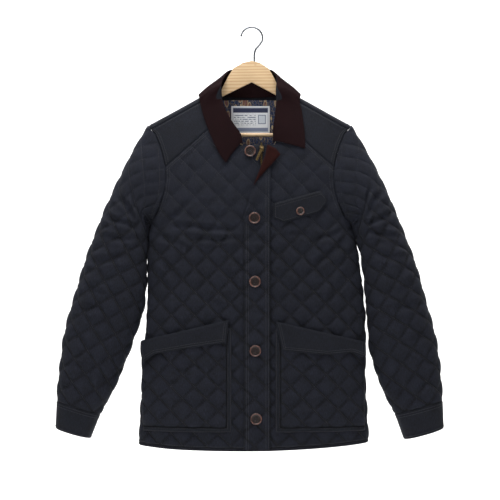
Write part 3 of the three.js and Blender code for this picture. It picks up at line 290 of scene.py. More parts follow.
def sleeve_ring(side, k, facing):
    name = "Right" if side < 0 else "Left"
    outer = np.array([side * SLEEVE["outer"][k] + MIDDLE, SLEEVE["outerZ"][k]])
    inner = np.array([side * SLEEVE["inner" + name][k] + MIDDLE, SLEEVE[name.lower() + "Z"][k]])
    centre, axis = (outer + inner) / 2, (outer - inner) / 2
    axis *= 1 - SLEEVE_WALL / np.linalg.norm(axis)
    angle = np.linspace(0, math.pi, RING_STEPS + 1)
    run = np.sign(np.cos(angle)) * np.abs(np.cos(angle)) ** (2 / OVAL)
    depth = SLEEVE["depth"][k] * np.maximum(np.sin(angle), 0) ** (2 / OVAL)
    return np.stack([centre[0] + axis[0] * run, -facing * depth, centre[1] + axis[1] * run], axis=1)


def armhole_ring(side, facing):
    face, place = ("front", on_front) if facing > 0 else ("back", on_back)
    places = [(facing * arc_at(face, x, z), z) for x, z in armhole_points(face, side)[1:]]
    foot_s, foot_z = places[-1]
    reach = facing * side * float(side_arc(face, side, ARMPIT_Z))
    places += [(foot_s + (reach - foot_s) * u, foot_z + (ARMPIT_Z - foot_z) * u) for u in ARMPIT_SHARES]
    ring = []
    for s, z in places:
        lift = ARMHOLE_LIFT + ARMPIT_LIFT * float(smoothstep(-z, 330, 385))
        ring.append(one_point(place, s, z, lift))
    tip_x = MIDDLE + side * ARMHOLE["half"][0]
    pit_x = side * (float(half_width(side, ARMPIT_Z)) + ARMHOLE_LIFT + ARMPIT_LIFT + 2)
    return [[tip_x, 0, ridge_at(tip_x) + ARMHOLE_LIFT], *ring, [pit_x, 0, ARMPIT_Z + 1]]


class SleeveShape:
    """Tables of one sleeve's surface, and its flat outlines."""

    def __init__(self, side):
        self.side = side
        self.faces = {}
        for facing in (1, -1):
            rings = [evenly(sleeve_ring(side, k, facing)) for k in range(len(SLEEVE["outer"]))]
            rings.append(evenly(armhole_ring(side, facing)))
            totals = np.array([total for _, total in rings])
            grid = np.array([ring for ring, _ in rings])
            last = len(rings) - 1
            slopes = row_slopes(grid)
            taus = np.linspace(0, last, last * FINE + 1)
            k = np.clip(np.floor(taus).astype(int), 0, last - 1)
            u = (taus - k)[:, None, None]
            fine = hermite(grid[k], grid[k + 1], slopes[k], slopes[k + 1], u)
            steps = np.linalg.norm(np.diff(fine, axis=0), axis=2)
            lengths = np.concatenate([np.zeros((1, SPREAD + 1)), np.cumsum(steps, axis=0)])
            lengths -= lengths[FINE]
            halves = np.interp(taus, np.arange(last + 1), totals)
            ts = np.linspace(*SLEEVE_REACH, 366)
            tau_of = [np.interp(ts, lengths[:, i], taus) for i in range(SPREAD + 1)]
            self.faces[facing] = dict(fine=fine, lengths=lengths, halves=halves, taus=taus, ts=ts,
                                      tau_of=np.stack(tau_of, axis=1))

    def tau_at(self, facing, f, t):
        face = self.faces[facing]
        row = (t - face["ts"][0]) / (face["ts"][1] - face["ts"][0])
        return bilinear(face["tau_of"], row, f * SPREAD)

    def read(self, facing, f, tau):
        return bilinear(self.faces[facing]["fine"], tau * FINE, f * SPREAD)

    def place(self, a, t):
        a, t = np.broadcast_arrays(np.asarray(a, float), np.asarray(t, float))
        out = np.zeros(a.shape + (3,))
        for facing in (1, -1):
            mine = (a * -self.side > 0) if facing > 0 else (a * -self.side <= 0)
            if not mine.any():
                continue
            face = self.faces[facing]
            am, tm = np.abs(a[mine]), t[mine]
            tau = self.tau_at(facing, np.full(am.shape, 0.5), tm)
            for _ in range(8):
                f = am / np.interp(tau, face["taus"], face["halves"])
                tau = self.tau_at(facing, np.where(f > 1, np.clip(2 - f, 0, 1), f), tm)
            over = f > 1
            f = np.where(over, np.clip(2 - f, 0, 1), f)
            points = self.read(facing, f, tau)
            if over.any():
                points[over] = self.read(-facing, f[over], tau[over])
            out[mine] = points
        return out

    def edge(self, facing, t):
        face = self.faces[facing]
        tau = float(self.tau_at(facing, np.array([1.0]), np.array([float(t)]))[0])
        return (-self.side * facing * (np.interp(tau, face["taus"], face["halves"]) - SEAM_GAP / 2), t)

    def cap(self, facing, i):
        face = self.faces[facing]
        reach = face["halves"][-1] - SEAM_GAP / 2
        return (-self.side * facing * (i / SPREAD) * reach, face["lengths"][-1, i])

    def outline(self, bottom, top=None):
        first = -self.side
        rises = [self.cap(f, SPREAD)[1] if top is None else top for f in (first, -first)]
        right = [self.edge(first, bottom + (rises[0] - bottom) * u) for u in np.linspace(0, 0.98, 26)]
        left = [self.edge(-first, bottom + (rises[1] - bottom) * u) for u in np.linspace(0, 0.98, 26)][::-1]
        if top is not None:
            return [*right, self.edge(first, top), self.edge(-first, top), *left]
        over = [self.cap(first, i) for i in range(SPREAD, -1, -2)]
        over += [self.cap(-first, i) for i in range(2, SPREAD + 1, 2)]
        return [*right, *over, *left]


sleeves = {"right": SleeveShape(-1), "left": SleeveShape(1)}
print("sleeve length", round(float(sleeves["right"].cap(1, 0)[1])), "mm above the cuff")

# %% [markdown]
# The outer cloth is a soft wool blend with a melange look: navy and grey fibres are mixed
# before they are spun, so the cloth is never one flat colour. The weave is a small twill.
# Wool has no gloss, only a soft sheen at its edges, so roughness is near one.

# %% Colours and the one helper that adds a node
def linear(code, alpha=1.0):
    """An sRGB hex colour turned to the linear numbers that shaders use."""
    parts = [int(code[i : i + 2], 16) / 255 for i in (0, 2, 4)]
    turned = [c / 12.92 if c <= 0.04045 else ((c + 0.055) / 1.055) ** 2.4 for c in parts]
    return (*turned, alpha)


def add_node(tree, kind, links=None, **settings):
    """Add a node with its settings, set inputs by name or number, and link what is a socket."""
    node = tree.nodes.new(kind)
    for name, value in settings.items():
        setattr(node, name, value)
    for key, value in (links or {}).items():
        socket = node.inputs[key]
        if isinstance(value, bpy.types.NodeSocket):
            tree.links.new(value, socket)
        else:
            socket.default_value = value
    return node


def maths(tree, operation, *values):
    """One step of arithmetic on sockets or numbers."""
    return add_node(tree, "ShaderNodeMath", dict(enumerate(values)), operation=operation).outputs[0]


def blend(tree, kind, share, low, high):
    """Two colours put together in one of the usual ways."""
    return add_node(tree, "ShaderNodeMixRGB", {0: share, 1: low, 2: high}, blend_type=kind).outputs[0]


def noise(tree, place, scale, detail, **more):
    """Soft noise: its first output is a number and its second a colour."""
    links = {0: place, "Scale": scale, "Detail": detail, **more}
    return add_node(tree, "ShaderNodeTexNoise", links).outputs


def stretched(tree, place, scale, turn=(0, 0, 0)):
    return add_node(tree, "ShaderNodeMapping", {0: place, "Rotation": turn, "Scale": scale}).outputs[0]


def ramp(tree, factor, *stops):
    """A colour ramp with its stops given as place and hex colour."""
    node = add_node(tree, "ShaderNodeValToRGB", {0: factor})
    elements = node.color_ramp.elements
    while len(elements) < len(stops):
        elements.new(0.5)
    for element, (place, colour) in zip(elements, stops):
        element.position = place
        element.color = linear(colour)
    return node.outputs[0]


def start_material(name, roughness, sheen=0.0, metallic=0.0):
    material = bpy.data.materials.new(name)
    material.use_nodes = True
    tree = material.node_tree
    shader = tree.nodes["Principled BSDF"]
    shader.inputs["Roughness"].default_value = roughness
    shader.inputs["Metallic"].default_value = metallic
    shader.inputs["Sheen Weight"].default_value = sheen
    return material, tree, shader


def flat_place(tree):
    """The piece's own flat cloth, with one unit for a millimetre."""
    uv = add_node(tree, "ShaderNodeUVMap", uv_map="flat")
    return stretched(tree, uv.outputs[0], (1 / MM, 1 / MM, 1 / MM))


def room_place(tree):
    return add_node(tree, "ShaderNodeTexCoord").outputs["Object"]


def bump(tree, shader, height, strength, distance):
    node = add_node(tree, "ShaderNodeBump", {"Height": height, "Strength": strength, "Distance": distance})
    tree.links.new(node.outputs[0], shader.inputs["Normal"])


def melange_wool(name, dark, light, sheen, quilted):
    """Wool blend twill: threads 0.9 mm apart, drawn at 1.6 mm so that they show."""
    material, tree, shader = start_material(name, 0.92, sheen)
    shader.inputs["Sheen Roughness"].default_value = 0.5
    shader.inputs["Sheen Tint"].default_value = linear("6A6C78")
    shader.inputs["Specular IOR Level"].default_value = 0.25
    place = flat_place(tree)
    fibres = noise(tree, place, 0.42, 5.0, Roughness=0.72)[0]
    patches = noise(tree, place, 0.035, 2.0)[0]
    streaks = noise(tree, stretched(tree, place, (0.9, 0.12, 1.0)), 1.0, 3.0)[0]
    mixed = maths(tree, "MULTIPLY", fibres, streaks)
    spread = maths(tree, "MULTIPLY_ADD", patches, 0.16, mixed)
    colour = ramp(tree, spread, (0.18, dark), (0.52, light))
    # Painted shade: quilted cloth is darkened along its stitch lines and seams, by the swell attribute.
    if quilted:
        swell = add_node(tree, "ShaderNodeAttribute", attribute_name="swell")
        shade = ramp(tree, swell.outputs["Fac"], (0.0, "4A4A50"), (0.75, "FFFFFF"))
        colour = blend(tree, "MULTIPLY", 1.0, colour, shade)
    tree.links.new(colour, shader.inputs["Base Color"])
    waves = {0: place, "Scale": 0.19, "Distortion": 1.2, "Detail": 1.0}
    twill = add_node(tree, "ShaderNodeTexWave", waves, wave_type="BANDS", bands_direction="DIAGONAL")
    bump(tree, shader, maths(tree, "MULTIPLY_ADD", twill.outputs[1], 0.4, fibres), 0.55, 0.0006)
    return material


WALE = 1.9  # millimetres from one rib to the next
WAVE_UNIT = 0.314  # the wave texture's scale at which its bands lie one unit apart


def corduroy(name, dark, light):
    """Fine corduroy: soft ribs of cut pile, 1.9 mm apart, with painted shade between them."""
    material, tree, shader = start_material(name, 0.95)
    shader.inputs["Specular IOR Level"].default_value = 0.08
    place = flat_place(tree)
    waves = {0: place, "Scale": WAVE_UNIT / WALE, "Distortion": 0.35, "Detail": 1.0}
    ribs = add_node(tree, "ShaderNodeTexWave", waves, wave_type="BANDS", bands_direction="X")
    pile = noise(tree, place, 0.7, 4.0, Roughness=0.7)[0]
    worn = noise(tree, place, 0.03, 2.0)[0]
    # The rib bands darken the colour between the ribs: painted shade in the valleys.
    mixed = maths(tree, "MULTIPLY_ADD", pile, 0.55, ribs.outputs[1])
    tone = maths(tree, "MULTIPLY_ADD", worn, 0.7, mixed)
    tree.links.new(ramp(tree, tone, (0.35, dark), (1.0, light)), shader.inputs["Base Color"])
    bump(tree, shader, mixed, 0.6, 0.0009)
    return material


quilt_cloth = melange_wool("melange wool quilted", "030406", "1A1D2A", 0.04, True)
plain_cloth = melange_wool("melange wool plain", "030406", "161924", 0.04, False)
collar_cloth = corduroy("brown corduroy", "090405", "190A0C")
facing_cloth = corduroy("brown corduroy facing", "0D0404", "260F0D")
print("cloth materials made")

# %% [markdown]
# Quilting is two layers of cloth with wadding between, sewn in a diamond net. Each stitch line
# pulls the layers together and each diamond swells. The swelling here is a height above the
# inner face that falls steeply near a line, with small puckers where the thread gathers cloth.
# Creases are placed where this jacket shows them, as soft troughs beside low ridges.

# %% Heights of quilted and plain cloth
DIAMOND_WIDE, DIAMOND_TALL = 49.4, 49.0
CROSSING = (30.0, -503.0)
STITCH_WALL, PUFF, SEAM_WALL, PLAIN_WALL = 1.3, 4.0, 2.2, 2.0
LINE_APART = 1 / math.hypot(1 / DIAMOND_WIDE, 1 / DIAMOND_TALL)


def value_noise(u, v, scale, seed):
    """Smooth noise on the flat cloth, the same at every run."""
    gu, gv = u / scale + 1000.5 + seed * 7.31, v / scale + 1000.5 + seed * 3.77
    iu, iv = np.floor(gu).astype(int), np.floor(gv).astype(int)
    fu, fv = gu - iu, gv - iv
    fu, fv = fu * fu * (3 - 2 * fu), fv * fv * (3 - 2 * fv)

    def corner(a, b):
        h = (a * 374761393 + b * 668265263 + seed * 974711) & 0x7FFFFFFF
        h = ((h ^ (h >> 13)) * 1274126177) & 0x7FFFFFFF
        return ((h ^ (h >> 16)) & 0xFFFF) / 65535 * 2 - 1

    low = corner(iu, iv) * (1 - fu) + corner(iu + 1, iv) * fu
    high = corner(iu, iv + 1) * (1 - fu) + corner(iu + 1, iv + 1) * fu
    return low * (1 - fv) + high * fv


def to_lines(u, v, crossing):
    p = (u - crossing[0]) / DIAMOND_WIDE + (v - crossing[1]) / DIAMOND_TALL
    q = (u - crossing[0]) / DIAMOND_WIDE - (v - crossing[1]) / DIAMOND_TALL
    return [(np.abs(w - np.round(w)) * LINE_APART, other) for w, other in ((p, q), (q, p))]


def fullness(v, crossing):
    """The wadding is pressed flat towards the shoulders, by the seams and the hanger."""
    near = 1 - smoothstep(-v, 300, 470) if crossing == CROSSING else smoothstep(v, 380, 520)
    return 1 - 0.5 * near


PILLOW_REACH, PUCKER_PITCH, PUCKER_HIGH = 4.5, 8.5, 0.3


def quilt_height(u, v, crossing, seed):
    (d1, run1), (d2, run2) = to_lines(u, v, crossing)
    swell = (1 - np.exp(-d1 / PILLOW_REACH)) * (1 - np.exp(-d2 / PILLOW_REACH)) / 0.93
    pucker = 0.0
    for d, run in ((d1, run1), (d2, run2)):
        wave = np.sin(run * LINE_APART * 2 * math.pi / PUCKER_PITCH + 5 * value_noise(u, v, 30, seed + 5))
        pucker = pucker + PUCKER_HIGH * wave * np.exp(-d / 3.5) * (1 - np.exp(-d / 1.2))
    full = fullness(v, crossing)
    puffed = PUFF * swell * full * (1 + 0.16 * value_noise(u, v, 34, seed))
    return STITCH_WALL + puffed + pucker * full + 0.9 * (1 - full)


def crease(u, v, start, end, width, depth):
    """A soft trough along a line, with a low ridge on each side, that fades at its ends."""
    (u0, v0), (u1, v1) = start, end
    length = math.hypot(u1 - u0, v1 - v0)
    du, dv = (u1 - u0) / length, (v1 - v0) / length
    run = ((u - u0) * du + (v - v0) * dv) / length
    bend = 3.0 * np.sin(run * math.pi * 1.7 + u0)
    off = (-(u - u0) * dv + (v - v0) * du + bend) / width
    fade = smoothstep(run, -0.08, 0.25) * (1 - smoothstep(run, 0.7, 1.08))
    return depth * fade * (1.15 * np.exp(-((np.abs(off) - 1.5) ** 2) / 0.5) * 0.55 - np.exp(-(off**2) / 0.55))


def creased(u, v, creases):
    total = np.zeros_like(u)
    for row in creases:
        total += crease(u, v, *row)
    return total


print("stitch lines are", round(LINE_APART, 1), "mm apart")

# %% [markdown]
# Every cut piece is filled with triangles by one function. Its border gets close points, a
# second row of points just inside lets the edge roll over softly, and the rest is a net whose
# crossings lie on the stitch lines, so that the grooves stay crisp. Then the net becomes a
# thin closed wall: an outer skin with the heights, a plain inner skin, and a rim between.

# %% Cut a piece flat and lay it on its shape
CELL = (DIAMOND_WIDE / 12, DIAMOND_TALL / 12)


def resample(outline, step):
    points = []
    for (u0, v0), (u1, v1) in zip(outline, outline[1:] + outline[:1]):
        length = math.hypot(u1 - u0, v1 - v0)
        if length < 0.05:
            continue
        count = max(1, round(length / step))
        points += [(u0 + (u1 - u0) * k / count, v0 + (v1 - v0) * k / count) for k in range(count)]
    return np.array(points)


def signed_area(loop):
    u, v = loop[:, 0], loop[:, 1]
    return 0.5 * float(np.sum(u * np.roll(v, -1) - v * np.roll(u, -1)))


def distance_to(loop, points):
    """Distance from each point to the nearest side of a loop, and whether it lies inside."""
    nearest = np.full(len(points), 1e9)
    inside = np.zeros(len(points), bool)
    following = np.roll(loop, -1, axis=0)
    u, v = points[:, 0], points[:, 1]
    for (u0, v0), (u1, v1) in zip(loop, following):
        du, dv = u1 - u0, v1 - v0
        t = np.clip(((u - u0) * du + (v - v0) * dv) / (du * du + dv * dv), 0, 1)
        nearest = np.minimum(nearest, np.hypot(u - u0 - t * du, v - v0 - t * dv))
        if v0 != v1:
            crossed = ((v0 > v) != (v1 > v)) & (u < u0 + (v - v0) * du / dv)
            inside ^= crossed
    return nearest, inside


def fill(outline, cell, crossing, inset=1.3):
    """A net of triangles inside an outline, with its points' distances from the edge."""
    loop = resample(list(outline), max(cell))
    if signed_area(loop) < 0:
        loop = loop[::-1]
    ahead, behind = np.roll(loop, -1, axis=0), np.roll(loop, 1, axis=0)
    tangent = ahead - behind
    tangent /= np.linalg.norm(tangent, axis=1, keepdims=True)
    inner = loop + np.stack([-tangent[:, 1], tangent[:, 0]], axis=1) * inset
    low, high = loop.min(axis=0), loop.max(axis=0)
    axes = []
    for first, last, start, step in zip(low, high, crossing, cell):
        steps = np.arange(math.floor((first - start) / step), math.ceil((last - start) / step) + 1)
        axes.append(start + step * steps)
    grid = np.stack(np.meshgrid(*axes), axis=-1).reshape(-1, 2)
    away, inside = distance_to(loop, grid)
    grid = grid[inside & (away > inset * 1.9)]
    away, inside = distance_to(loop, inner)
    inner = inner[inside & (away > inset * 0.85)]
    points = np.concatenate([loop, inner, grid])
    count = len(loop)
    edges = [(i, (i + 1) % count) for i in range(count)]
    verts, _, faces, *_ = delaunay_2d_cdt([Vector(p) for p in points], edges, [list(range(count))], 1, 1e-4)
    points = np.array([tuple(v) for v in verts])
    faces = np.array([f for f in faces if len(f) == 3])
    a, b, c = (points[faces[:, k]] for k in range(3))
    turn = (b[:, 0] - a[:, 0]) * (c[:, 1] - a[:, 1]) - (b[:, 1] - a[:, 1]) * (c[:, 0] - a[:, 0])
    faces[turn < 0] = faces[turn < 0][:, ::-1]
    faces = faces[np.abs(turn) > 1e-7]
    away, _ = distance_to(loop, points)
    return points, faces, away, abs(signed_area(loop))


def rim_edges(faces):
    sides = np.concatenate([faces[:, [0, 1]], faces[:, [1, 2]], faces[:, [2, 0]]])
    keys = {tuple(sorted(s)): 0 for s in sides.tolist()}
    for s in sides.tolist():
        keys[tuple(sorted(s))] += 1
    return [s for s in sides.tolist() if keys[tuple(sorted(s))] == 1]


def mesh_object(name, points, faces, flat, material, sharp=0.9):
    """A mesh in metres from millimetre points, with the flat cloth's place as its UV map."""
    mesh = bpy.data.meshes.new(name)
    mesh.from_pydata((np.asarray(points) * MM).tolist(), [], [list(f) for f in faces])
    uv = mesh.uv_layers.new(name="flat")
    loops = np.empty(len(mesh.loops), int)
    mesh.loops.foreach_get("vertex_index", loops)
    uv.data.foreach_set("uv", (np.asarray(flat)[loops] * MM).ravel())
    mesh.shade_smooth()
    if sharp:
        mesh.set_sharp_from_angle(angle=sharp)
    mesh.materials.append(material)
    piece = bpy.data.objects.new(name, mesh)
    bpy.context.scene.collection.objects.link(piece)
    return piece


def set_painted_shade(piece, values):
    """Painted shade for the materials to read, as the swell attribute: from 0, the darkest shade, to 1, no
    shade.
    """
    piece.data.attributes.new("swell", "FLOAT", "POINT").data.foreach_set("value", values)


def shell(name, outline, place, outer, inner, material, cell=CELL, crossing=CROSSING, small=0.6):
    """A closed wall of cloth: outer and inner give heights from flat places and edge distance."""
    flat, faces, away, area = fill(outline, cell, crossing)
    u, v = flat[:, 0], flat[:, 1]
    top = lay(place, u, v, outer(u, v, away), small)
    below = lay(place, u, v, inner(u, v, away), small)
    count = len(flat)
    walls = [[a, a + count, b + count, b] for a, b in rim_edges(faces)]
    all_faces = [*faces.tolist(), *(faces[:, ::-1] + count).tolist(), *walls]
    piece = mesh_object(name, np.concatenate([top, below]), all_faces, np.concatenate([flat, flat]), material)
    # Painted shade for the quilted cloth: darkest on the stitch lines and at the piece's edges, fainter where
    # the wadding is pressed flat.
    (d1, _), (d2, _) = to_lines(u, v, crossing)
    groove_shade = 1 - np.clip(np.minimum(np.minimum(d1, d2), away * 1.5) / 4, 0, 1)
    swell = 1 - groove_shade * fullness(v, crossing) ** 2
    set_painted_shade(piece, np.concatenate([swell, swell]).astype(np.float32))
    wide, tall = (float(c) for c in flat.max(axis=0) - flat.min(axis=0))
    if area < 0.32 * wide * tall:
        loop = resample(list(outline), 4)
        wide = float(np.sum(np.linalg.norm(loop - np.roll(loop, 1, axis=0), axis=1))) / 2
        tall = max(area / wide, 12)
    piece["area"] = area * MM * MM
    piece["size"] = [wide * MM, tall * MM]
    return piece


def declare(piece, body, nodes):
    """Say which body a piece rides on and which nodes it stands for."""
    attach(piece, body)
    if nodes:
        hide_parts(*nodes)
    print(piece.name, len(piece.data.polygons), "faces")


print("net cells", [round(c, 2) for c in CELL], "mm")

# %% [markdown]
# The outlines are those that the solids have, so each cloth covers its own solid. Every skin of
# a piece is a function that gives a height from a flat place and its distance from the edge.

# %% Outlines shared with the solids
NECK_RIGHT = [(-93, -149.6), (-90, -165), (-82, -185), (-69, -208), (-51, -229), (-32, -243.5), (-18, -249)]
NECK_LEFT = [(84.6, -149.6), (82, -165), (75, -185), (65, -207), (55, -230), (47, -247)]
NECK_BACK = [
    (-93, -140.4), (-72, -143), (-38, -145.4), (-4.2, -146), (30, -145.4), (64, -143), (84.6, -140.4),
]
FRONT_TOP_Z, FORWARD_SEAM, BACK_YOKE_Z, YOKE_INSET = -247, 10, -262, 1.6
YOKE_SEAM = dict(half=175.4, z=-293.6, innerHalf=75, innerZ=-205)
BINDING_TALL = 6
HEM_SIDE = dict(right=234.8, left=242.5)
ZIP_X, CHAIN = 20, 4.4
EDGE_RIGHT, EDGE_LEFT = ZIP_X - CHAIN / 2 - SEAM_GAP, ZIP_X + CHAIN / 2 + SEAM_GAP


def hem_points(from_x, to_x):
    xs = np.linspace(from_x, to_x, max(3, math.ceil(abs(to_x - from_x) / 20) + 1))
    return [(x, float(along(HEM, "x", "z", x)) + BINDING_TALL) for x in xs]


def side_line(face, side, from_z, to_z):
    sign = (1 if face == "front" else -1) * side
    zs = np.linspace(from_z, to_z, 36)
    return [(sign * (float(side_arc(face, side, z)) - SEAM_GAP / 2), z) for z in zs]


def yoke_line(half):
    t = (half - YOKE_SEAM["innerHalf"]) / (YOKE_SEAM["half"] - YOKE_SEAM["innerHalf"])
    return YOKE_SEAM["innerZ"] + (YOKE_SEAM["z"] - YOKE_SEAM["innerZ"]) * t


def neck_parts(side):
    rows = NECK_RIGHT if side < 0 else NECK_LEFT
    over = [z - yoke_line(abs(x - MIDDLE)) for x, z in rows]
    first = next(i for i, o in enumerate(over) if o <= 0)
    t = over[first - 1] / (over[first - 1] - over[first])
    (x0, z0), (x1, z1) = rows[first - 1], rows[first]
    meet = (x0 + (x1 - x0) * t, z0 + (z1 - z0) * t)
    return [*rows[:first], meet], [meet, *rows[first:]]


QUILT_EDGE, CREASE_EDGE, DRAPE_EDGE = 2.6, 12, 30  # how soon each form fades in from an edge
DRAPE_WIDE = 85  # millimetres from one soft wave of hanging cloth to the next
CREASE_INSIDE = 0.8  # a crease is a little shallower on the inner skin
INNER_GAP = 0.05


def soft_edge(away, full):
    """Cloth is pressed thin at a seam and reaches its full height a little way in."""
    return 1 - np.exp(-away / full)


def draped(u, v, away, much, seed):
    """The soft waves in which large cloth hangs, the same on both skins of a piece."""
    return much * value_noise(u, v, DRAPE_WIDE, seed + 9) * soft_edge(away, DRAPE_EDGE)


def quilt_outer(creases=(), seed=1, low=0.0, crossing=CROSSING, drape=1.0):
    def outer(u, v, away):
        swell = (quilt_height(u, v, crossing, seed) - SEAM_WALL) * soft_edge(away, QUILT_EDGE)
        moved = creased(u, v, creases) * soft_edge(away, CREASE_EDGE)
        return low + SEAM_WALL + swell + draped(u, v, away, drape, seed) + moved

    return outer


def plain_outer(wall=PLAIN_WALL, low=0.0, seed=3, drape=0.5, lift=None):
    def outer(u, v, away):
        base = low + wall * (0.5 + 0.5 * soft_edge(away, 1.1)) + 0.35 * np.exp(-(((away - 4) / 2.2) ** 2))
        soft = drape * value_noise(u, v, 40, seed) * soft_edge(away, 14)
        return base + soft + (lift(u, v) if lift else 0)

    return outer


def side_swell(height, edge, reach, low_v, high_v, much):
    """Near its side seam a panel swells towards the sleeve that hangs against it."""
    def swollen(u, v, away):
        level = smoothstep(v, low_v - 60, low_v) * (1 - smoothstep(v, high_v, high_v + 40))
        return height(u, v, away) + much * (smoothstep(np.abs(u), edge, reach) * level)

    return swollen


def inner_skin(low=0.0, lift=None, creases=(), drape=0.0, seed=1):
    def inner(u, v, away):
        moved = creased(u, v, creases) * soft_edge(away, CREASE_EDGE) * CREASE_INSIDE
        base = low + INNER_GAP + (lift(u, v) if lift else 0)
        return base + moved + draped(u, v, away, drape, seed)

    return inner


print("neck meets the yoke at", [tuple(round(c) for c in neck_parts(s)[0][-1]) for s in (-1, 1)])

# %% [markdown]
# The fronts and the back are quilted. Their creases come from hanging: pulls that run out
# from the underarm, two flat folds across the right chest, and folds beside the closure.
# Each row below is a start, an end, a width and a depth.

# %% The fronts and the back
FRONT_RIGHT_CREASES = [
    ((-172, -418), (-24, -421), 7, 2.6),
    ((-126, -441), (-20, -444), 6, 2.2),
    ((-128, -282), (-130, -362), 6, 1.6),
    ((-190, -418), (-128, -362), 7, 2.4),
    ((-205, -432), (-120, -470), 8, 2.0),
    ((-200, -470), (-150, -540), 9, 1.8),
    ((-60, -500), (-20, -560), 8, 1.4),
    ((-100, -560), (-40, -600), 9, 1.3),
]
FRONT_LEFT_CREASES = [
    ((198, -420), (120, -452), 7, 2.4),
    ((204, -440), (130, -500), 8, 2.2),
    ((170, -320), (150, -372), 6, 1.6),
    ((60, -440), (140, -428), 7, 1.5),
    ((205, -500), (160, -580), 9, 1.7),
    ((60, -520), (110, -585), 9, 1.3),
]
BACK_CREASES = [
    ((-205, -425), (-110, -455), 8, 2.4),
    ((205, -425), (120, -462), 8, 2.4),
    ((-200, -470), (-120, -560), 9, 1.9),
    ((205, -480), (130, -570), 9, 1.9),
    ((-60, -420), (70, -432), 8, 1.6),
    ((-40, -640), (60, -660), 10, 1.4),
    ((-150, -700), (-90, -790), 10, 1.5),
    ((140, -690), (100, -800), 10, 1.5),
]
# The swelling at the sides: from and to a distance round, a low and a high level, and how much
BODY_SIDES = (190, 225, -600, -440, 1.2)
cut = {}


def front_outline(side, edge_x):
    hem_side = side * (HEM_SIDE["right"] if side < 0 else HEM_SIDE["left"])
    armhole = [p for p in armhole_points("front", side) if p[1] < YOKE_SEAM["z"] + 1]
    neck = [(x, z - 2 * SEAM_GAP) for x, z in neck_parts(side)[1]]
    return [
        *on_cloth("front", hem_points(edge_x, hem_side)),
        *side_line("front", side, -855, ARMPIT_Z),
        *on_cloth("front", armhole[::-1]),
        *on_cloth("front", neck),
        *on_cloth("front", [(edge_x, FRONT_TOP_Z)]),
    ]


def back_outline():
    def corner(side):
        rows = armhole_points("back", side)
        x = float(np.interp(-BACK_YOKE_Z, [-z for _, z in rows], [x for x, _ in rows]))
        return [(x, BACK_YOKE_Z), *[p for p in rows if p[1] < BACK_YOKE_Z - 5]]

    return [
        *on_cloth("back", hem_points(HEM_SIDE["left"], -HEM_SIDE["right"])),
        *side_line("back", -1, -855, ARMPIT_Z),
        *on_cloth("back", corner(-1)[::-1]),
        *on_cloth("back", corner(1)),
        *side_line("back", 1, ARMPIT_Z, -855),
    ]


QUILTED, PLAIN = (quilt_cloth, "quilted_cloth"), (plain_cloth, "plain_cloth")


def cut_piece(name, outline, place, skins, cloth, crossing=CROSSING, small=0.6, cell=CELL):
    """skins is the outer and the inner height, cloth a material and a slot name, which is not used."""
    material, slot = cloth
    piece = shell(name + "_cloth", outline, place, *skins, material, cell, crossing, small)
    declare(piece, "root", [name])
    cut[name] = dict(loop=resample(list(outline), 4), outline=outline, place=place, outer=skins[0],
                     crossing=crossing, small=small)


def hung_skins(creases, seed, sides, crossing=CROSSING):
    """Both skins of a large quilted panel, which fall and crease together."""
    outer = quilt_outer(creases, seed=seed, crossing=crossing)
    inner = inner_skin(creases=creases, drape=1.0, seed=seed)
    return [side_swell(skin, *sides) for skin in (outer, inner)]


for name, side, edge_x, creases in (
    ("front_right", -1, EDGE_RIGHT, FRONT_RIGHT_CREASES),
    ("front_left", 1, EDGE_LEFT, FRONT_LEFT_CREASES),
):
    cut_piece(name, front_outline(side, edge_x), on_front, hung_skins(creases, 2 + side, BODY_SIDES), QUILTED)
cut_piece("back", back_outline(), on_back, hung_skins(BACK_CREASES, 6, BODY_SIDES), QUILTED)

# %% [markdown]
# The yokes are plain cloth over the shoulders. The back yoke runs over the shoulder's ridge to
# a seam that lies a little forward. A narrow binding closes the hem.

# %% Yokes and hem binding
def front_yoke_outline(side):
    def is_below(p):
        return p[1] < ridge_at(p[0]) - FORWARD_SEAM - 1

    armhole = [p for p in armhole_points("front", side) if p[1] > YOKE_SEAM["z"] - 1 and is_below(p)][::-1]
    armhole = [(x, z if i else z + 2 * SEAM_GAP) for i, (x, z) in enumerate(armhole)]
    top = [(MIDDLE + side * half, float(ridge_at(MIDDLE + side * half)) - FORWARD_SEAM - SEAM_GAP)
           for half in (206, 190, 170, 150, 130, 110)]
    neck = neck_parts(side)[0]
    neck = [(x, z + 2 * SEAM_GAP if i == len(neck) - 1 else z) for i, (x, z) in enumerate(neck)]
    return on_cloth("front", armhole) + on_cloth("front", top) + on_cloth("front", neck)


def back_yoke_outline():
    def over(face, x, z):
        return (-x, (1 if face == "front" else -1) * (float(ridge_at(x)) - z))

    def rim(side):
        rows = armhole_points("back", side)
        foot_x = float(np.interp(-BACK_YOKE_Z, [-z for _, z in rows], [x for x, _ in rows]))
        upper = [p for p in rows if p[1] > BACK_YOKE_Z + 5][1:]
        inner = [over("back", x - side * YOKE_INSET, z) for x, z in upper][::-1]
        tip = [(-MIDDLE - side * half, past) for half, past in ((211, 0), (210.3, 3), (207.5, FORWARD_SEAM))]
        return [over("back", foot_x, BACK_YOKE_Z + SEAM_GAP), *inner, *tip]

    neck = [over("back", x, z) for x, z in NECK_BACK]
    bottom = [over("back", x, BACK_YOKE_Z + SEAM_GAP) for x in (-150, -75, 0, 75, 150)]
    ends = [over("front", x, float(ridge_at(x)) - FORWARD_SEAM) for x in (NECK_RIGHT[0][0], NECK_LEFT[0][0])]
    return [*rim(-1), ends[0], *neck, ends[1], *rim(1)[::-1], *bottom[::-1]]


for name, side in (("yoke_right", -1), ("yoke_left", 1)):
    cut_piece(name, front_yoke_outline(side), on_front, (plain_outer(seed=11 + side), inner_skin()), PLAIN)
skins = plain_outer(seed=15, drape=0.6), inner_skin()
cut_piece("yoke_back", back_yoke_outline(), on_shoulder, skins, PLAIN, crossing=(0, 0), cell=(4.2, 2.6))

# The binding's edge is tucked into the panel, so that no light shows through the seam
BINDING_TUCK = 0.8


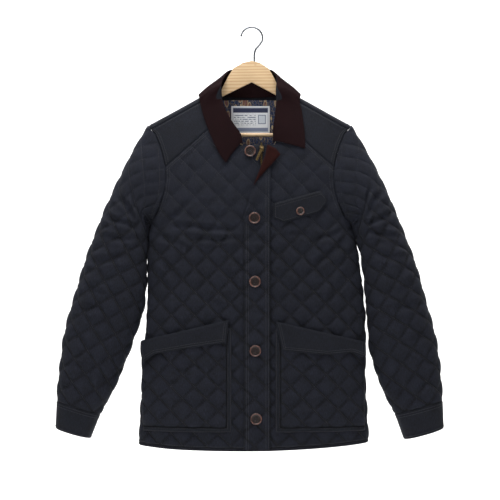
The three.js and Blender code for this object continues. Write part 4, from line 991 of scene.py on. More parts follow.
def binding_outline(face, from_x, to_x):
    high = [(x, z + BINDING_TUCK) for x, z in hem_points(from_x, to_x)]
    low = [(x, z - BINDING_TALL) for x, z in hem_points(from_x, to_x)]
    return on_cloth(face, low) + on_cloth(face, high[::-1])


def binding_outer(_u, _v, away):
    return -0.6 + 3.6 * (0.35 + 0.65 * np.sqrt(np.clip(away / 2.6, 0, 1)))


def binding_inner(_u, _v, away):
    return -0.6 + 0.8 * (1 - np.sqrt(np.clip(away / 2.6, 0, 1)))


for name, face, from_x, to_x in (
    ("hem_right", "front", EDGE_RIGHT, -HEM_SIDE["right"]),
    ("hem_left", "front", EDGE_LEFT, HEM_SIDE["left"]),
    ("hem_back", "back", HEM_SIDE["left"], -HEM_SIDE["right"]),
):
    place = on_front if face == "front" else on_back
    skins = binding_outer, binding_inner
    cut_piece(name, binding_outline(face, from_x, to_x), place, skins, PLAIN, cell=(4, 1.5))

# %% [markdown]
# The sleeves hang from the armholes with folds that run out of the underarm and lie across
# the elbow. The quilting crosses on the sleeve's outer edge. The cuffs are plain and firm.

# %% Sleeves and cuffs
def sleeve_creases(sign, seed):
    rows = [
        ((112, 405), (28, 452), 7, 3.0), ((114, 392), (14, 404), 7, 3.2), ((116, 378), (30, 352), 7, 2.8),
        ((104, 430), (60, 470), 6, 2.2), ((108, 330), (18, 300), 9, 2.2), ((12, 262), (92, 236), 9, 2.2),
        ((100, 215), (18, 196), 9, 2.0), ((16, 150), (88, 128), 9, 1.8), ((90, 96), (16, 78), 8, 1.7),
        ((20, 40), (84, 30), 7, 1.4), ((8, 500), (40, 440), 9, 1.5), ((-20, 520), (-26, 430), 9, 1.3),
        ((-112, 400), (-34, 446), 8, 2.8), ((-114, 384), (-24, 372), 8, 2.6),
        ((-104, 250), (-20, 226), 9, 2.0), ((-96, 180), (-18, 160), 9, 1.7),
        ((-90, 90), (-22, 72), 8, 1.5), ((-100, 320), (-24, 296), 9, 1.8),
    ]
    shift = 6 * seed
    return [((sign * a0, t0 + shift), (sign * a1, t1 + shift), w, d) for (a0, t0), (a1, t1), w, d in rows]


CUFF_TALL = 58
SLEEVE_SIDES = (70, 105, 240, 430, 2.0)
for name, side in (("right", -1), ("left", 1)):
    shape, at = sleeves[name], dict(crossing=(0, 0), small=5)
    folds = sleeve_creases(-side, 0 if side < 0 else 1)
    skins = hung_skins(folds, 20 + side, SLEEVE_SIDES, crossing=(0, 0))
    cut_piece("sleeve_" + name, shape.outline(SEAM_GAP), shape.place, skins, QUILTED, **at)
    skins = plain_outer(wall=3, seed=30 + side, drape=0.7), inner_skin()
    cut_piece("cuff_" + name, shape.outline(-CUFF_TALL, 0), shape.place, skins, PLAIN, **at)

# %% [markdown]
# Pockets, flaps and the placket lie on the fronts. A patch is sewn down at its edges, so its
# skins dip towards the panel there. A flap hangs free, and its outer lower corner gapes.

# %% Pockets, flaps and placket
FRONT_TOP, LAYER_GAP = 4.4, 0.6
BAG_LOW = FRONT_TOP + LAYER_GAP
FLAP_LOW = BAG_LOW + FRONT_TOP + LAYER_GAP
BAND_WIDE, POCKET_FOOT_Z, POCKET_TOP_Z = 9.5, -842.5, -628


def sewn(height, deep=2.4, reach=2.6):
    """A skin that dips towards the panel below near the piece's edge."""
    def dipped(u, v, away):
        return height(u, v, away) - deep * np.exp(-away / reach)

    return dipped


def pocket_outlines(side):
    inner_x, outer_x = (-41.4, -224) if side < 0 else (48.9, 233)
    band_x = inner_x + side * BAND_WIDE
    foot = POCKET_FOOT_Z + BAND_WIDE
    bag_x = band_x + side * SEAM_GAP
    bag = [(bag_x, foot + SEAM_GAP), (outer_x, foot + SEAM_GAP), (outer_x, POCKET_TOP_Z - 50),
           (side * 214, POCKET_TOP_Z - 30), (bag_x, POCKET_TOP_Z)]
    band = [(inner_x, POCKET_FOOT_Z), (outer_x, POCKET_FOOT_Z), (outer_x, foot), (band_x, foot),
            (band_x, POCKET_TOP_Z), (inner_x, POCKET_TOP_Z)]
    return on_cloth("front", bag), on_cloth("front", band)


FLAPS = dict(
    right=[(-47, -609.8), (-52, -657), (-123, -668), (-195, -682), (-216, -701), (-222, -657.7)],
    left=[(48.9, -613), (62.4, -673.7), (155.4, -683.3), (203.5, -679), (226, -690), (229, -657)],
)
CHEST_FLAP = [
    (44.5, -369.8), (44.5, -399.8), (65.5, -408.9), (139, -387.9),
    (153.9, -368.3), (153.9, -357.8), (140.5, -342.7),
]


def gape(s, z):
    wave = 1.6 * np.sin(s / 17.0) * smoothstep(-z, 640, 690)
    return 5 * smoothstep(np.abs(s), 165, 235) * smoothstep(-z, 650, 690) + wave


for name, side in (("right", -1), ("left", 1)):
    bag, band = pocket_outlines(side)
    slack = [
        ((side * 90, -700), (side * 200, -730), 10, 1.5),
        ((side * 80, -790), (side * 180, -770), 10, 1.3),
    ]
    below = sewn(inner_skin(low=BAG_LOW))
    skins = sewn(quilt_outer(slack, seed=40 + side, low=BAG_LOW)), below
    cut_piece("pocket_" + name, bag, on_front, skins, QUILTED)
    skins = sewn(plain_outer(wall=2.6, low=BAG_LOW, seed=44 + side)), below
    cut_piece("pocket_band_" + name, band, on_front, skins, PLAIN, cell=(2.4, 2.4))
    outer = plain_outer(wall=2.2, low=FLAP_LOW, seed=48 + side, drape=0.8, lift=gape)
    skins = outer, inner_skin(low=FLAP_LOW, lift=gape)
    cut_piece("flap_" + name, on_cloth("front", FLAPS[name]), on_front, skins, PLAIN, cell=(3, 3))
skins = plain_outer(wall=2.2, low=BAG_LOW, seed=55, drape=0.5), inner_skin(low=BAG_LOW - 0.6)
cut_piece("chest_flap", on_cloth("front", CHEST_FLAP), on_front, skins, PLAIN, cell=(3, 3))

PLACKET_FOOT_Z = float(along(HEM, "x", "z", 10)) + 1
PLACKET = [
    (-16.2, PLACKET_FOOT_Z), (38.4, PLACKET_FOOT_Z), (38.4, -247.4), (31, -247.4),
    (26.4, -272), (17, -296), (2, -338), (-16.2, -394),
]
FACING = [
    (31.5, -248.5), (49, -257.5), (58.5, -269.6), (14.5, -317.5), (2.8, -334.5), (17.6, -296), (27.4, -270),
]
FACING_LOW = FLAP_LOW - 1.1
placket_folds = [
    ((-12, -440), (34, -452), 8, 1.2),
    ((-14, -600), (34, -588), 9, 1.3),
    ((34, -742), (-12, -755), 9, 1.2),
]
skins = quilt_outer(placket_folds, seed=60, low=BAG_LOW, drape=0.6), inner_skin(low=BAG_LOW)
cut_piece("placket", on_cloth("front", PLACKET), on_front, skins, QUILTED)


def facing_roll(s, _z):
    return 2 * smoothstep(s, 30, 58)


outer = plain_outer(wall=2, low=FACING_LOW, seed=63, drape=0.4, lift=facing_roll)
skins = outer, inner_skin(low=FACING_LOW, lift=facing_roll)
cord = facing_cloth, "corduroy"
cut_piece("placket_facing", on_cloth("front", FACING), on_front, skins, cord, cell=(2.5, 2.5))

# %% [markdown]
# The collar is one band of corduroy that stands round the neck, rolls over and falls. Its path
# is known at twenty places round the neck, each with a seam, a roll and an edge. Smooth curves
# through those places in both directions give a surface that bends as cloth does.

# %% Collar
COLLAR_RIGHT = [
    ((-18.5, -246.5, 5), (-53, -286, 7.5)),
    ((-22, -227, 8), (-64.5, -270, 7.5)),
    ((-38, -204, 9), (-76.5, -247, 7)),
    ((-53, -177, 9), (-89, -218, 6)),
    ((-61, -152, 8), (-101, -184, 6)),
    ((-64, -30, -127), (-107, -160, 7)),
    ((-62, -22, -115), (-110, -15, -148)),
    ((-57, -13, -103), (-111, 0, -139)),
]
COLLAR_BACK = [
    ((-48, 7, -91), (-92, 26, -149)),
    ((-28, 21, -86), (-50, 34, -150)),
    ((-2, 26, -84), (-3, 38, -149)),
    ((25, 21, -86), (44, 34, -150)),
    ((42, 7, -90), (84, 26, -149)),
]
COLLAR_LEFT = [
    ((43.5, -243, 6), (110, -256, 7.5)),
    ((43, -217, 9), (109.5, -228, 7)),
    ((47, -186, 9), (107, -202, 6)),
    ((50, -156, 9), (104, -178, 6)),
    ((51, -31, -129), (100, -159, 7)),
    ((52, -23, -116), (102, -15, -147)),
    ((51, -14, -102), (102, 0, -138)),
]
COLLAR_WALL = 2.6


def place_of(row):
    """A row's third number above 0 is a height off the front, measured at its x and z."""
    if row[2] > 0:
        return one_point(on_front, arc_at("front", row[0], row[1]), row[1], row[2])
    return np.array(row, float)


def collar_path(seam, roll, edge):
    out = np.array([edge[0] - roll[0], edge[1] - roll[1], 0])
    out = out / np.linalg.norm(out) if np.linalg.norm(out) > 1 else np.array([0, 1.0, 0])
    up = np.array([0, 0, 1.0])
    return np.array([
        seam, (seam + roll) / 2 + out * 3 + up * 2, roll, roll + out * 3.2 + up * 1.2,
        roll * 0.8 + edge * 0.2 + out * 3 + up * 2, roll * 0.4 + edge * 0.6 + out * 2.5 + up * 2, edge,
    ])


def collar_seams():
    def front(rows, side):
        points = []
        for x, z in rows:
            x, z = x - side * 3.6, z + (1.8 if z < -200 else 0)
            points.append(one_point(on_front, arc_at("front", x, z), z))
        return points

    back = [on_back(np.array([-arc_at("back", x, z)]), np.array([z + 1.8]))[0] for x, z in NECK_BACK[1:-1]]
    ends = NECK_RIGHT[0][0] + 2.5, NECK_LEFT[0][0] - 2.5
    ridges = [np.array([x, 0, float(ridge_at(x)) - 0.9]) for x in ends]
    return [*front(NECK_RIGHT, -1)[::-1], ridges[0], *back, ridges[1], *front(NECK_LEFT, 1)]


def smooth_rows(grid, per):
    """More rows on smooth curves through the given ones."""
    count = len(grid)
    slopes = row_slopes(grid)
    at = np.linspace(0, count - 1, (count - 1) * per + 1)
    i = np.clip(np.floor(at).astype(int), 0, count - 2)
    return hermite(grid[i], grid[i + 1], slopes[i], slopes[i + 1], (at - i)[:, None, None])


rows = [*COLLAR_RIGHT, *COLLAR_BACK, *COLLAR_LEFT[::-1]]
collar_grid = np.array([collar_path(s, place_of(r), place_of(e)) for s, (r, e) in zip(collar_seams(), rows)])
collar_grid = smooth_rows(collar_grid, 9)
collar_grid = smooth_rows(collar_grid.transpose(1, 0, 2), 9).transpose(1, 0, 2)
run_steps = np.linalg.norm(np.diff(collar_grid, axis=0), axis=2)
fall_steps = np.linalg.norm(np.diff(collar_grid, axis=1), axis=2)
middle_column = run_steps.shape[1] // 2
run = np.concatenate([[0], np.cumsum(run_steps[:, middle_column])])
fall = np.concatenate([np.zeros((len(run), 1)), np.cumsum(fall_steps, axis=1)], axis=1)
across = np.gradient(collar_grid, axis=1)
down = np.gradient(collar_grid, axis=0)
collar_out = np.cross(down, across)
collar_out /= np.linalg.norm(collar_out, axis=2, keepdims=True)
collar_run = np.repeat(run[:, None], fall.shape[1], axis=1)
edge_away = np.minimum.reduce([collar_run, run[-1] - collar_run, fall[:, -1:] - fall])
soft = 0.8 * value_noise(collar_run, fall, 45, 70) * soft_edge(edge_away, 20) * smoothstep(fall, 25, 60)
rounding = 0.45 + 0.55 * np.sqrt(np.clip(edge_away / 2.2, 0, 1))
collar_top = collar_grid + collar_out * (soft - COLLAR_WALL * 0.5 * (1 - rounding))[..., None]
on_fall = smoothstep(fall / fall[:, -1:], 0.35, 0.75)
below = (0.6 + (COLLAR_WALL - 0.6) * on_fall) * (0.5 + 0.5 * rounding)
collar_low = collar_grid - collar_out * below[..., None]


def sheet_faces(rows, columns, start, flip):
    index = start + np.arange(rows * columns).reshape(rows, columns)
    quads = np.stack([index[:-1, :-1], index[1:, :-1], index[1:, 1:], index[:-1, 1:]], axis=-1).reshape(-1, 4)
    return (quads[:, ::-1] if flip else quads).tolist()


def border(rows, columns):
    index = np.arange(rows * columns).reshape(rows, columns)
    return [*index[:-1, 0], *index[-1, :-1], *index[:0:-1, -1], *index[0, :0:-1]]


rows_n, columns_n = collar_grid.shape[:2]
ring = border(rows_n, columns_n)
count = rows_n * columns_n
rim = [[a, a + count, b + count, b] for a, b in zip(ring, ring[1:] + ring[:1])]
collar_faces = [*sheet_faces(rows_n, columns_n, 0, False), *sheet_faces(rows_n, columns_n, count, True), *rim]
flat = np.stack([collar_run, fall], axis=-1).reshape(-1, 2)
collar = mesh_object("collar_cloth", np.concatenate([collar_top.reshape(-1, 3), collar_low.reshape(-1, 3)]),
                     collar_faces, np.concatenate([flat, flat]), collar_cloth)
collar.data.materials.append(plain_cloth)
under = len(sheet_faces(rows_n, columns_n, 0, True))
for polygon in collar.data.polygons[under:2 * under]:
    polygon.material_index = 1
collar["area"] = float(np.sum(np.linalg.norm(np.cross(across, down), axis=2))) * MM * MM
collar["size"] = [float(run[-1]) * MM, float(fall[:, -1].max()) * MM]
print("collar runs", round(float(run[-1])), "mm round the neck")
declare(collar, "root", ["collar"])

# %% [markdown]
# Through the open neck the lining shows, a smooth cotton with a common leaf print in brown and
# cream on navy, and a plain woven label. The print is made from cells that are stretched into
# leaves and cut by a vein, so it repeats nowhere. The label keeps a border and bare lines only.

# %% Lining and label
def printed_cotton(name):
    material, tree, shader = start_material(name, 0.75)
    place = flat_place(tree)
    bent = blend(tree, "ADD", 0.9, place, noise(tree, place, 0.05, 2.0)[1])
    leaves_at = stretched(tree, place, (0.1, 0.042, 0.1), (0, 0, 0.6))
    leaves = add_node(tree, "ShaderNodeTexVoronoi", {0: leaves_at, "Scale": 1.0, "Randomness": 0.85})
    veins = add_node(tree, "ShaderNodeTexWave", {0: bent, "Scale": 0.05, "Distortion": 6.0, "Detail": 2.0})
    sprigs = add_node(tree, "ShaderNodeTexVoronoi", {0: bent, "Scale": 0.14}, feature="DISTANCE_TO_EDGE")
    ground = ramp(tree, leaves.outputs[0], (0.30, "6B4528"), (0.40, "B8A37F"), (0.45, "17223F"))
    tone = ramp(tree, veins.outputs[1], (0.44, "17223F"), (0.56, "33466F"))
    thin = ramp(tree, sprigs.outputs[0], (0.01, "A08C6A"), (0.04, "000000"))
    colour = blend(tree, "LIGHTEN", 0.7, blend(tree, "LIGHTEN", 0.45, ground, tone), thin)
    tree.links.new(colour, shader.inputs["Base Color"])
    bump(tree, shader, noise(tree, place, 1.2, 2.0)[0], 0.15, 0.0003)
    return material


LINING = [
    (-84, -160), (-70, -151), (-38, -149.6), (30, -149.6), (62, -151), (76, -160), (82, -300), (-90, -300),
]
LINING_LOW = -2.8
lining_cloth = printed_cotton("printed cotton lining")


def thin_skin(low, wall, seed, wave=0.4):
    def height(u, v, away):
        return low + wall + wave * value_noise(u, v, 38, seed) * soft_edge(away, 8)

    return height


skins = thin_skin(LINING_LOW, 1.2, 80), thin_skin(LINING_LOW, 0.0, 80)
cut_piece("lining", on_cloth("back", LINING), on_back, skins, (lining_cloth, "lining_print"))


def woven_label(name, corner, size):
    """White satin label: a navy band, a border line and rows of short grey bars, no letters."""
    material, tree, shader = start_material(name, 0.6, 0.1)
    uv = add_node(tree, "ShaderNodeUVMap", uv_map="flat")
    scale = (1 / (size[0] * MM), 1 / (size[1] * MM), 1)
    shift = (-corner[0] / size[0], -corner[1] / size[1], 0)
    place = add_node(tree, "ShaderNodeMapping", {0: uv.outputs[0], "Location": shift, "Scale": scale})
    parts = add_node(tree, "ShaderNodeSeparateXYZ", {0: place.outputs[0]})

    def band(axis, low, high):
        above = maths(tree, "GREATER_THAN", parts.outputs[axis], low)
        return maths(tree, "MULTIPLY", above, maths(tree, "LESS_THAN", parts.outputs[axis], high))

    def area(left, foot, right, top):
        return maths(tree, "MULTIPLY", band(0, left, right), band(1, foot, top))

    rows = maths(tree, "FRACT", maths(tree, "MULTIPLY", parts.outputs[1], 14.0))
    dashes = maths(tree, "GREATER_THAN", noise(tree, place.outputs[0], 16.0, 1.0)[0], 0.47)
    lines = maths(tree, "MULTIPLY", maths(tree, "LESS_THAN", rows, 0.42), dashes)
    colour = linear("F2F4F8")
    for mask, code in (
        (area(0.035, 0.05, 0.965, 0.95), "AAB2C2"), (area(0.05, 0.075, 0.95, 0.925), "F4F8FD"),
        (area(0.05, 0.76, 0.95, 0.925), "232C50"), (area(0.05, 0.075, 0.95, 0.2), "8791AA"),
        (area(0.1, 0.34, 0.3, 0.68), "7F8CA2"), (area(0.12, 0.37, 0.28, 0.65), "DCE4EE"),
        (maths(tree, "MULTIPLY", lines, area(0.36, 0.3, 0.93, 0.72)), "6F7C94"),
    ):
        colour = blend(tree, "MIX", mask, colour, linear(code))
    threads = noise(tree, flat_place(tree), 1.6, 2.0)[0]
    tree.links.new(blend(tree, "MULTIPLY", 0.18, colour, threads), shader.inputs["Base Color"])
    bump(tree, shader, threads, 0.2, 0.0003)
    return material


label_outline = on_cloth("back", [(-43.5, -161.3), (38.4, -161.3), (38.4, -218), (-43.5, -218)])
label_us = [p[0] for p in label_outline]
label_cloth = woven_label("woven satin label", (min(label_us), -218), (max(label_us) - min(label_us), 56.7))
skins = thin_skin(LINING_LOW - 1.0, 0.0, 80), thin_skin(LINING_LOW - 1.9, 0.0, 80)
cut_piece("label", label_outline, on_back, skins, (label_cloth, "label_cloth"), cell=(2.5, 2.5))

# %% [markdown]
# Hard pieces come next. Their solids have the right shape but crisp edges, so each gets a copy
# with its doubles merged and its edges rounded by a bevel, as sanding or casting would leave.

# %% Wood, metal and horn
def pine(name):
    """Clear lacquered pine: growth rings 4 to 6 mm apart run along the arm, with small knots."""
    material, tree, shader = start_material(name, 0.42)
    shader.inputs["Coat Weight"].default_value = 0.25
    shader.inputs["Coat Roughness"].default_value = 0.25
    place = room_place(tree)
    rings_at = stretched(tree, place, (7, 60, 90), (0, 0.18, 0))
    rings = add_node(tree, "ShaderNodeTexWave", {0: rings_at, "Scale": 0.55, "Distortion": 5.5, "Detail": 3.0,
                                                 "Detail Scale": 0.8}, wave_type="BANDS", bands_direction="Z")
    fine = noise(tree, stretched(tree, place, (60, 900, 900)), 1.0, 4.0)[0]
    flecks_at = stretched(tree, place, (22, 30, 70))
    flecks = add_node(tree, "ShaderNodeTexVoronoi", {0: flecks_at, "Scale": 1.3})
    grain = ramp(tree, rings.outputs[1], (0.0, "C6AC88"), (0.62, "BFA27B"), (1.0, "B3916A"))
    grain = blend(tree, "SOFT_LIGHT", 0.25, grain, fine)
    knots = ramp(tree, flecks.outputs[0], (0.06, "A87C56"), (0.13, "FFFFFF"))
    tree.links.new(blend(tree, "MULTIPLY", 0.55, grain, knots), shader.inputs["Base Color"])
    bump(tree, shader, fine, 0.08, 0.0004)
    return material


def metal(name, dark, light, roughness, scale, strength):
    """Bare metal with a thin uneven tarnish, which is duller where it is darker."""
    material, tree, shader = start_material(name, roughness, metallic=1.0)
    tarnish = noise(tree, room_place(tree), scale, 4.0)[0]
    tree.links.new(ramp(tree, tarnish, (0.35, dark), (0.62, light)), shader.inputs["Base Color"])
    rough = add_node(tree, "ShaderNodeMapRange", {0: tarnish, 3: roughness + 0.12, 4: roughness - 0.06})
    tree.links.new(rough.outputs[0], shader.inputs["Roughness"])
    bump(tree, shader, tarnish, strength, 0.0002)
    return material


def horn(name):
    """Horn look resin: warm brown with darker streaks, and painted shade on all but the raised rim."""
    material, tree, shader = start_material(name, 0.3)
    streaks_at = stretched(tree, room_place(tree), (420, 420, 120), (0, 0.7, 0))
    streaks = noise(tree, streaks_at, 1.0, 4.0)[0]
    colour = ramp(tree, streaks, (0.3, "2A1512"), (0.5, "4E2F27"), (0.7, "7A5548"))
    # Painted shade: the dish and the sides are darkened, the raised rim keeps its full colour.
    painted_shade_factor = add_node(tree, "ShaderNodeAttribute", attribute_name="swell")
    shade = ramp(tree, painted_shade_factor.outputs["Fac"], (0.1, "5A5656"), (0.55, "8A8684"), (0.95, "FFFFFF"))
    tree.links.new(blend(tree, "MULTIPLY", 1.0, colour, shade), shader.inputs["Base Color"])
    bump(tree, shader, streaks, 0.1, 0.0002)
    return material


def spun_thread(name):
    material, tree, shader = start_material(name, 0.7)
    strands = noise(tree, room_place(tree), 800.0, 2.0)[0]
    tree.links.new(ramp(tree, strands, (0.3, "05060A"), (0.7, "171922")), shader.inputs["Base Color"])
    return material


pine_wood = pine("lacquered pine")
antique_brass = metal("antique brass", "2E261B", "7C6845", 0.4, 900, 0.3)
steel_wire = metal("polished steel wire", "4A4C50", "84878C", 0.28, 260, 0.08)
horn_resin = horn("horn resin")
thread_dark = spun_thread("polyester thread")


def evaluated(piece):
    """The piece's mesh with its modifiers worked out, and no modifier left on it."""
    graph = bpy.context.evaluated_depsgraph_get()
    worked = piece.evaluated_get(graph)
    mesh = bpy.data.meshes.new_from_object(worked, preserve_all_data_layers=True, depsgraph=graph)
    old = piece.data
    piece.modifiers.clear()
    piece.data = mesh
    bpy.data.meshes.remove(old)
    mesh.name = piece.name
    return piece


def rounded_copy(node, name, width, material, body="root", segments=3, angle=0.5):
    source = bpy.data.objects[node]
    mesh = source.data.copy()
    mesh.materials.clear()
    mesh.materials.append(material)
    work = bmesh.new()
    work.from_mesh(mesh)
    bmesh.ops.remove_doubles(work, verts=work.verts, dist=2e-6)
    bmesh.ops.dissolve_limit(work, angle_limit=0.02, verts=work.verts, edges=work.edges)
    work.to_mesh(mesh)
    work.free()
    piece = bpy.data.objects.new(name, mesh)
    bpy.context.scene.collection.objects.link(piece)
    bevel = piece.modifiers.new("rounded", "BEVEL")
    bevel.width, bevel.segments, bevel.limit_method, bevel.angle_limit = width * MM, segments, "ANGLE", angle
    evaluated(piece)
    piece.data.shade_smooth()
    piece.data.set_sharp_from_angle(angle=0.6)
    declare(piece, body, [node])
    return piece


rounded_copy("hanger_body", "hanger_wood", 2.2, pine_wood, segments=4)
rounded_copy("zip_slider", "slider_cast", 0.35, antique_brass, segments=2)
rounded_copy("zip_pull", "pull_cast", 0.3, antique_brass, body="zip_pull", segments=2)

# %% [markdown]
# Round pieces are turned: a profile spun in fine steps. The buttons have a raised rim, a dished
# middle and four holes with crossed thread. The wire hook is a tube on a smooth curve.

# %% Turned pieces and the hook
def turned(profile, steps, origin, x_axis, y_axis, z_axis):
    """Spin a profile of radius and height round the z axis of a frame, all in millimetres."""
    angles = np.linspace(0, 2 * math.pi, steps, endpoint=False)
    points, faces = [], []
    for r, h in profile:
        for a in angles:
            points.append(origin + x_axis * r * math.cos(a) + y_axis * r * math.sin(a) + z_axis * h)
    for j in range(len(profile) - 1):
        for i in range(steps):
            k = (i + 1) % steps
            faces.append([j * steps + i, j * steps + k, (j + 1) * steps + k, (j + 1) * steps + i])
    points += [origin + z_axis * profile[0][1], origin + z_axis * profile[-1][1]]
    low, top = len(points) - 2, len(points) - 1
    last = (len(profile) - 1) * steps
    for i in range(steps):
        k = (i + 1) % steps
        faces.append([low, k, i])
        faces.append([top, last + i, last + k])
    return points, faces


def frame_on_front(x, z, height):
    s = np.array([arc_at("front", x, z)])
    zs = np.array([float(z)])
    across = (on_front(s + 3, zs) - on_front(s - 3, zs))[0]
    up = (on_front(s, zs + 3) - on_front(s, zs - 3))[0]
    across, up = across / np.linalg.norm(across), up / np.linalg.norm(up)
    out = np.cross(across, up)
    out /= np.linalg.norm(out)
    return lay(on_front, s, zs, np.array([height]))[0], np.cross(up, out), up, out


BUTTON_STEPS = 48


def button(name, node, x, z, height, radius, thick):
    """One button with its holes; gives the ends of its two crossed threads."""
    origin, right, up, out = frame_on_front(x, z, height)
    dish = thick * 0.66
    profile = [
        (radius * 0.5, 0), (radius - 1.4, 0), (radius - 0.5, 0.35), (radius, thick * 0.45),
        (radius - 0.15, thick * 0.75), (radius - 0.7, thick * 0.95), (radius - 1.5, thick),
        (radius - 2.3, thick * 0.93), (radius - 3.1, dish), (radius * 0.58, dish - 0.1),
        (radius * 0.5, dish - 0.35), (radius * 0.42, dish - 0.1), (radius * 0.2, dish - 0.1),
    ]
    points, faces = turned(profile, BUTTON_STEPS, origin, right, up, out)
    piece = mesh_object(name, points, faces, np.zeros((len(points), 2)), horn_resin, sharp=0.7)
    # Painted shade: the points of the raised rim are marked unshaded, and the horn material shades the dish
    # and the sides.
    rims = [float(r > radius * 0.7 and h > thick * 0.8) for r, h in profile]
    painted_shade_factor = [rim for rim in rims for _ in range(BUTTON_STEPS)] + [0.0, 0.0]
    set_painted_shade(piece, painted_shade_factor)
    holes = radius * 0.2
    cutters = []
    for a in (-1, 1):
        for b in (-1, 1):
            spot = origin + right * holes * a + up * holes * b
            bore = [(radius * 0.085, -1), (radius * 0.085, thick + 1)]
            ends, sides = turned(bore, 12, spot, right, up, out)
            cutter = mesh_object("hole_cutter", ends, sides, np.zeros((len(ends), 2)), horn_resin, sharp=None)
            cutters.append(cutter)
            cutter.hide_render = True
            tool = piece.modifiers.new("hole", "BOOLEAN")
            tool.object, tool.operation, tool.solver = cutter, "DIFFERENCE", "EXACT"
    evaluated(piece)
    for cutter in cutters:
        bpy.data.objects.remove(cutter, do_unlink=True)
    declare(piece, "root", [node])

    def eye(a, b):
        return origin + right * holes * a + up * holes * b + out * (dish + 0.05)

    return [(eye(-1, -1), eye(1, 1), out), (eye(-1, 1), eye(1, -1), out)]


# Each row: node, place across and up, how far it is sunk, radius, thickness and the cloth's height
BUTTONS = [
    ("button_1", 5.5, -399.8, 0, 12, 3.6, BAG_LOW),
    ("button_2", 6.7, -530.9, 0.95, 12, 3.6, BAG_LOW),
    ("button_3", 7.4, -673.7, 1.2, 12, 3.6, BAG_LOW),
    ("button_4", 9, -813.8, 0, 12, 3.6, BAG_LOW),
    ("button_neck", -3.6, -261.7, 0.85, 12, 3.6, 0),
    ("button_chest", 99.3, -385.8, FRONT_TOP - PLAIN_WALL, 9, 3.0, BAG_LOW),
]
crossings = []
for node, x, z, sunk, radius, thick, low in BUTTONS:
    crossings += button(node + "_turned", node, x, z, low + FRONT_TOP + SEAM_GAP - sunk, radius, thick)


def tube(name, points, radius, sides, material, node):
    curve = bpy.data.curves.new(name, "CURVE")
    curve.dimensions, curve.use_fill_caps = "3D", True
    curve.bevel_depth, curve.bevel_resolution = radius * MM, sides // 4
    spline = curve.splines.new("POLY")
    spline.points.add(len(points) - 1)
    for dot, p in zip(spline.points, points):
        dot.co = (*[c * MM for c in p], 1)
    shape = bpy.data.objects.new(name, curve)
    bpy.context.scene.collection.objects.link(shape)
    graph = bpy.context.evaluated_depsgraph_get()
    mesh = bpy.data.meshes.new_from_object(shape.evaluated_get(graph))
    bpy.data.objects.remove(shape, do_unlink=True)
    mesh.name = name
    mesh.materials.clear()
    mesh.materials.append(material)
    mesh.shade_smooth()
    mesh.set_sharp_from_angle(angle=0.9)
    piece = bpy.data.objects.new(name, mesh)
    bpy.context.scene.collection.objects.link(piece)
    declare(piece, "root", [node])
    return piece


HOOK_RADIUS, WIRE = 22.7, 4.2
centre_z = -(HOOK_RADIUS - WIRE / 2)
turns = np.radians(np.arange(172, -31, -14.5))
hook_points = [(HOOK_RADIUS * math.cos(a), 0, centre_z + HOOK_RADIUS * math.sin(a)) for a in turns]
hook_points += [(13.5, 0, -38.6), (9, 0, -43.6), (6.4, 0, -50), (5.5, 0, -58), (5.5, 0, -72), (5.5, 0, -86)]
hook_line = smooth_rows(np.array(hook_points)[:, None, :], 6)[:, 0, :]
tube("hook_wire", hook_line.tolist(), WIRE / 2, 16, steel_wire, "hanger_hook")
X_AXIS, Y_AXIS, Z_AXIS = np.eye(3)
bar_profile = [(3.7, -177), (4.25, -176.4), (4.25, 176.4), (3.7, 177)]
bar_points, bar_faces = turned(bar_profile, 32, np.array([MIDDLE, 0, -224.3]), Y_AXIS, Z_AXIS, X_AXIS)
bar = mesh_object("hanger_dowel", bar_points, bar_faces, np.zeros((len(bar_points), 2)), pine_wood, sharp=0.7)
declare(bar, "root", ["hanger_bar"])

# %% [markdown]
# Stitches repeat hundreds of times, so Geometry Nodes place them. A tree takes a line, walks
# along it in equal steps and puts a small thread bead at each step, turned to the line and to
# the cloth's own outward direction. The same tree serves zip teeth with another bead.

